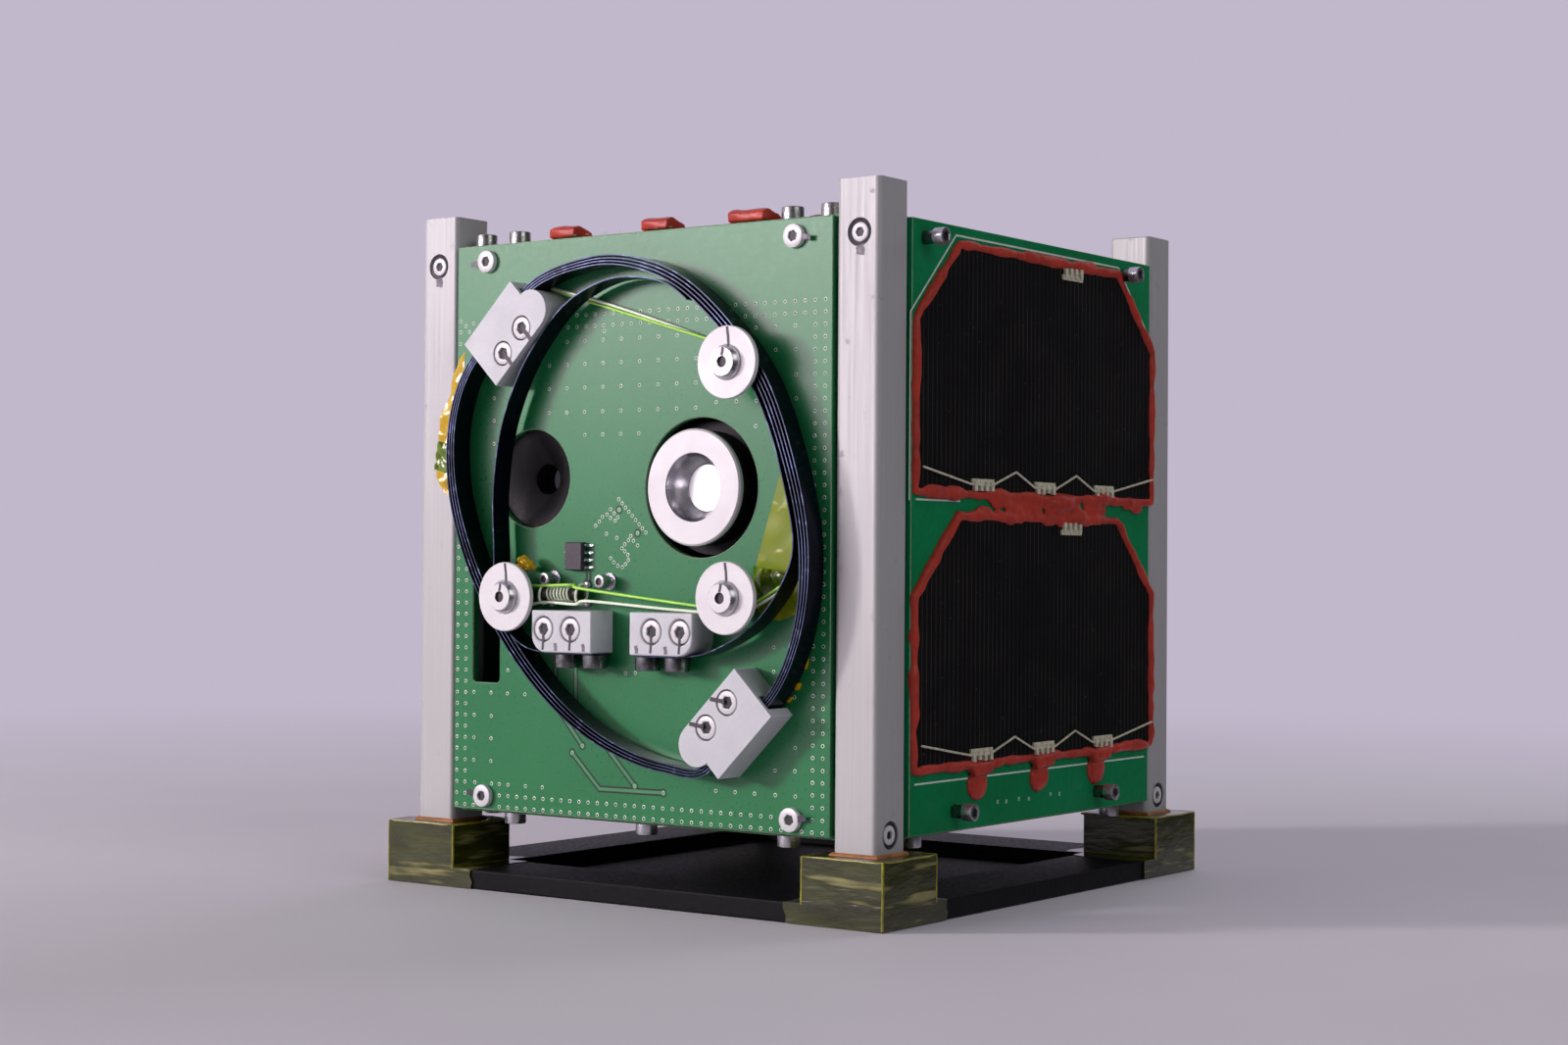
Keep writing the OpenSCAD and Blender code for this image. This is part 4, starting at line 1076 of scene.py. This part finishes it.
addFilm("filmFlag", [
    (-36.9, 95.3), (-38.6, 93.8), (-39.2, 91.4), (-39.8, 87.9), (-41.1, 86), (-42.4, 83.6), (-43.1, 81),
    (-43.2, 79.1), (-42.9, 76.9), (-43.6, 75.3), (-43.5, 73.8), (-42, 71.5), (-40.7, 69.9), (-39, 69.6),
    (-38.6, 73), (-38.8, 78), (-38.6, 83), (-37.9, 88), (-36.6, 92)], 52.4, 1.3, 5.5, yellowFilm, 3)
addFilm("filmFlagFold", [(-41.8, 79.4), (-39.2, 78.6), (-38.8, 75.5), (-40.4, 73.6), (-42.9, 74.3),
                         (-42.6, 77)], 53.2, 0.9, 2.0, greenFilmWithGlints, 4)
addFilm("filmPatch", [
    (31, 72.8), (26.5, 58.8), (25.7, 56), (25.6, 51), (28, 48.8), (31, 48.6), (34, 49.5), (38, 48.8),
    (38.3, 52), (38.8, 56), (38.6, 61), (36.6, 66), (34, 70)], 50.36, 0.1, 4, flatFilm, 5, thick=0.05)
addFilm("filmSpike", [(38.7, 62.3), (39.1, 59), (38.6, 56.6), (37.9, 55.6), (37.5, 57.9), (38.1, 60.7)],
        50.8, 0.8, 1.2, yellowFilm, 6)
addFilm("filmFold", [(26.2, 57.5), (31.5, 56.5), (34.4, 54.6), (33, 52.4), (29, 51.2), (26, 52)],
        50.5, 0.9, 1.6, greenFilmWithGlints, 8)
glints = [(37.5, 48.5, 37.4, 46.4), (36.7, 42.8, 36.3, 40.9), (35.3, 38.6, 34.9, 37.5),
          (33.6, 36.2, 33.0, 35.4), (35.9, 44.6, 35.2, 43.9), (34.6, 41.0, 33.9, 40.2),
          (35.9, 47.2, 35.4, 46.0)]
bm = bmesh.new()
for k, (x0, z0, x1, z1) in enumerate(glints):      # scraps of lifted film down the right edge
    bent = [(x0, z0), ((x0 + x1) / 2 + 0.15, (z0 + z1) / 2), (x1, z1)]
    addRibbon(bm, bent, 0.35, 50.34, 50.9 + 0.2 * (k % 3))
addBox(bm, 37.1, 38, 48.8, 50.8, 50.36, 50.45)
finishPiece("filmScraps", bm, [yellowFilm])
bm = bmesh.new()
for x, z, r in ((-22.4, 58.2, 0.9), (-21.4, 57.6, 0.8), (-20.7, 57.0, 0.6), (-22.9, 57.0, 0.8)):
    addLump(bm, x, z, 53, (r, r * 0.8, 1.4))
meltPiece("filmCrumple", bm, yellowFilm, 0.12, 0.35, 0.5)
print("film: flag, patch and folds are placed")

# A solar face: two cells with their ribbons, tabs and red sealant, laid out from each cell's lower edge.
cell = {"wide": 80.0, "tall": 40.2, "crop": 13.0, "shift": 0.6}


def cellOutline(low, grow):
    w, h, c = cell["wide"] / 2 + grow, cell["tall"] + grow, cell["crop"] + grow * 0.4
    corners = [(-w, low - grow), (w, low - grow), (w, low + h - c), (w - c, low + h), (c - w, low + h),
               (-w, low + h - c)]
    return [(x + cell["shift"], z) for x, z in corners]


def dressFace(name, turn, lows, base, seed, pads=(-20.3, 0.3, 20.7), sink=0.0):
    draw = random.Random(seed)
    upper, lower, tall = max(lows), min(lows), cell["tall"]
    bm = bmesh.new()
    for low in lows:
        steps = stepAlong(cellOutline(low, 0.7), 2.2)
        wide = [draw.uniform(0.7, 1.15) for p in steps]
        bead = [onFace(turn, x + draw.uniform(-0.15, 0.15), z + draw.uniform(-0.15, 0.15), base + 0.1 - sink)
                for x, z in steps]
        addTube(bm, bead, wide, loop=True)
    for left, right, low, high, count, thick in (      # smears, first those between the two cells
            (-19, 22, upper - 3.9, upper - 0.8, 26, 0.8),
            (-26, 28, lower + tall + 0.2, lower + tall + 1, 10, 1.0),
            (-22, 24, upper - 0.9, upper - 0.2, 8, 1.3), (32, 39, upper - 2.4, upper - 0.8, 4, 0.8),
            (-6, 20, upper + tall + 0.4, upper + tall + 1.3, 6, 1.1),
            (-38, -28, upper - 1.0, upper + 0.1, 3, 1.0), (26, 38, lower - 0.8, lower - 0.1, 5, 0.9)):
        for k in range(count):
            addLump(bm, draw.uniform(left, right), draw.uniform(low, high), base + 0.25,
                    (draw.uniform(2.2, 4.6), draw.uniform(0.8, 1.3), draw.uniform(0.6, 1) * thick), turn)
    addLump(bm, 7.2, lower + tall + 3.6, base + 0.6, (4.2, 1.7, 1.7), turn)
    addLump(bm, 13.6, lower + tall + 1.2, base + 0.5, (2.3, 1.6, 1.1), turn)
    for x in pads:                            # round pads below the lower cell, with a flap above each
        addLump(bm, x, lower - 4.1, base + 0.1, (3.3, 2.9, 0.8), turn)
        flap = [(-2.7, -2.6), (3.0, -2.2), (4.0, -0.2), (-3.4, -0.6)]
        addSlab(bm, [(x + dx, lower + dz) for dx, dz in flap], base + 0.3, base + 1.7, turn)
    meltPiece(name + "Sealant", bm, redSealant, 0.36, 0.12, 2.6)
    bm = bmesh.new()
    for low in lows:
        for x, z in ((-19.7, low + 0.6), (1.1, low + 0.6), (22.4, low + 0.6), (10.6, low + tall - 0.7)):
            up = -1 if z > low + 9 else 1     # the comb's back lies on the cell, its fingers pass the edge
            back = z + up * 0.9
            addBox(bm, x - 3.5, x + 3.5, back - 0.45, back + 0.45, base + 0.4, base + 0.75, turn)
            for k in range(4):
                finger = x - 2.7 + 1.8 * k
                ends = sorted([back, z - up * draw.uniform(0.5, 0.9)])
                addBox(bm, finger - 0.45, finger + 0.45, *ends, base + 0.55, base + 1.05, turn)
        wire = [onFace(turn, x, low + z, base + 0.75 + 0.5 * (z > 2)) for x, z in (
            (-39.2, 3.4), (-23.6, 1.0), (-17.0, 0.9), (-9.8, 3.4), (-2.5, 0.9), (4.8, 0.9), (11.2, 3.4),
            (18.6, 0.9), (25.8, 1.0), (40.2, 3.6))]
        fine = [a.lerp(b, k / 5) for a, b in zip(wire, wire[1:]) for k in range(5)]
        addTube(bm, fine + [wire[-1]], 0.2, 6)
    finishPiece(name + "Ribbons", bm, [tinnedRibbon], 40)
    bm = bmesh.new()
    outline = cellOutline(upper, 2.1)
    for run, width in ((outline[2:] + outline[:1], 0.32), ([(-39.5, lower - 2.9), (39.5, lower - 2.9)], 0.3),
                       ([(-39.5, upper - 1.9), (-26, upper - 1.9)], 0.3)):
        addRibbon(bm, run, width, base + 0.004, base + 0.02, turn)
    finishPiece(name + "Print", bm, [whiteInk])
    places = [(x, lower - 7.6 + draw.uniform(-0.2, 0.2)) for x in (-13.3, -10.4, -6.2, -2.8, 4.7, 7.9)]
    placeCopies(name + "Vias", viaRim, spotsOn(places, base, [turn]), tinnedRim, 12, True)


for node, finish in (("right", cellGlassAlongY), ("left", cellGlassAlongY), ("back", cellGlassAlongX),
                     ("top", cellGlassAlongX)):
    finishNode("solar_cells_" + node, finish)
for seed, (name, turn) in enumerate((("right", 90), ("back", 180), ("left", 270)), 21):
    dressFace(name + "Face", turn, (25.1, 70.4), board, seed)
dressFace("topFace", "top", (-43.0, 2.4), seats["top"], 24, pads=(), sink=0.35)
bm = bmesh.new()
for x, wide in ((-17.8, 3.0), (2.9, 3.0), (22.3, 3.8)):     # the top face's front tabs, thick in sealant
    addLoft(bm, [[point(x + side * wide, y, z) for y, z in (
        (-49.0 + lean, 114.7), (-43.6, 114.7), (-43.9, 115.9), (-47.3, 116.9 + lean * 0.4), (-48.9, 116.3))]
        for side, lean in ((-1, 0.3), (1, -0.1))])
    addLump(bm, x - wide * 0.7, -46.6, 115.0, (wide * 0.5, 1.9, 0.8), "top")
meltPiece("topTabsSealant", bm, redSealant, 0.3, 0.15, 2.4)
print("solar faces: four faces are dressed")
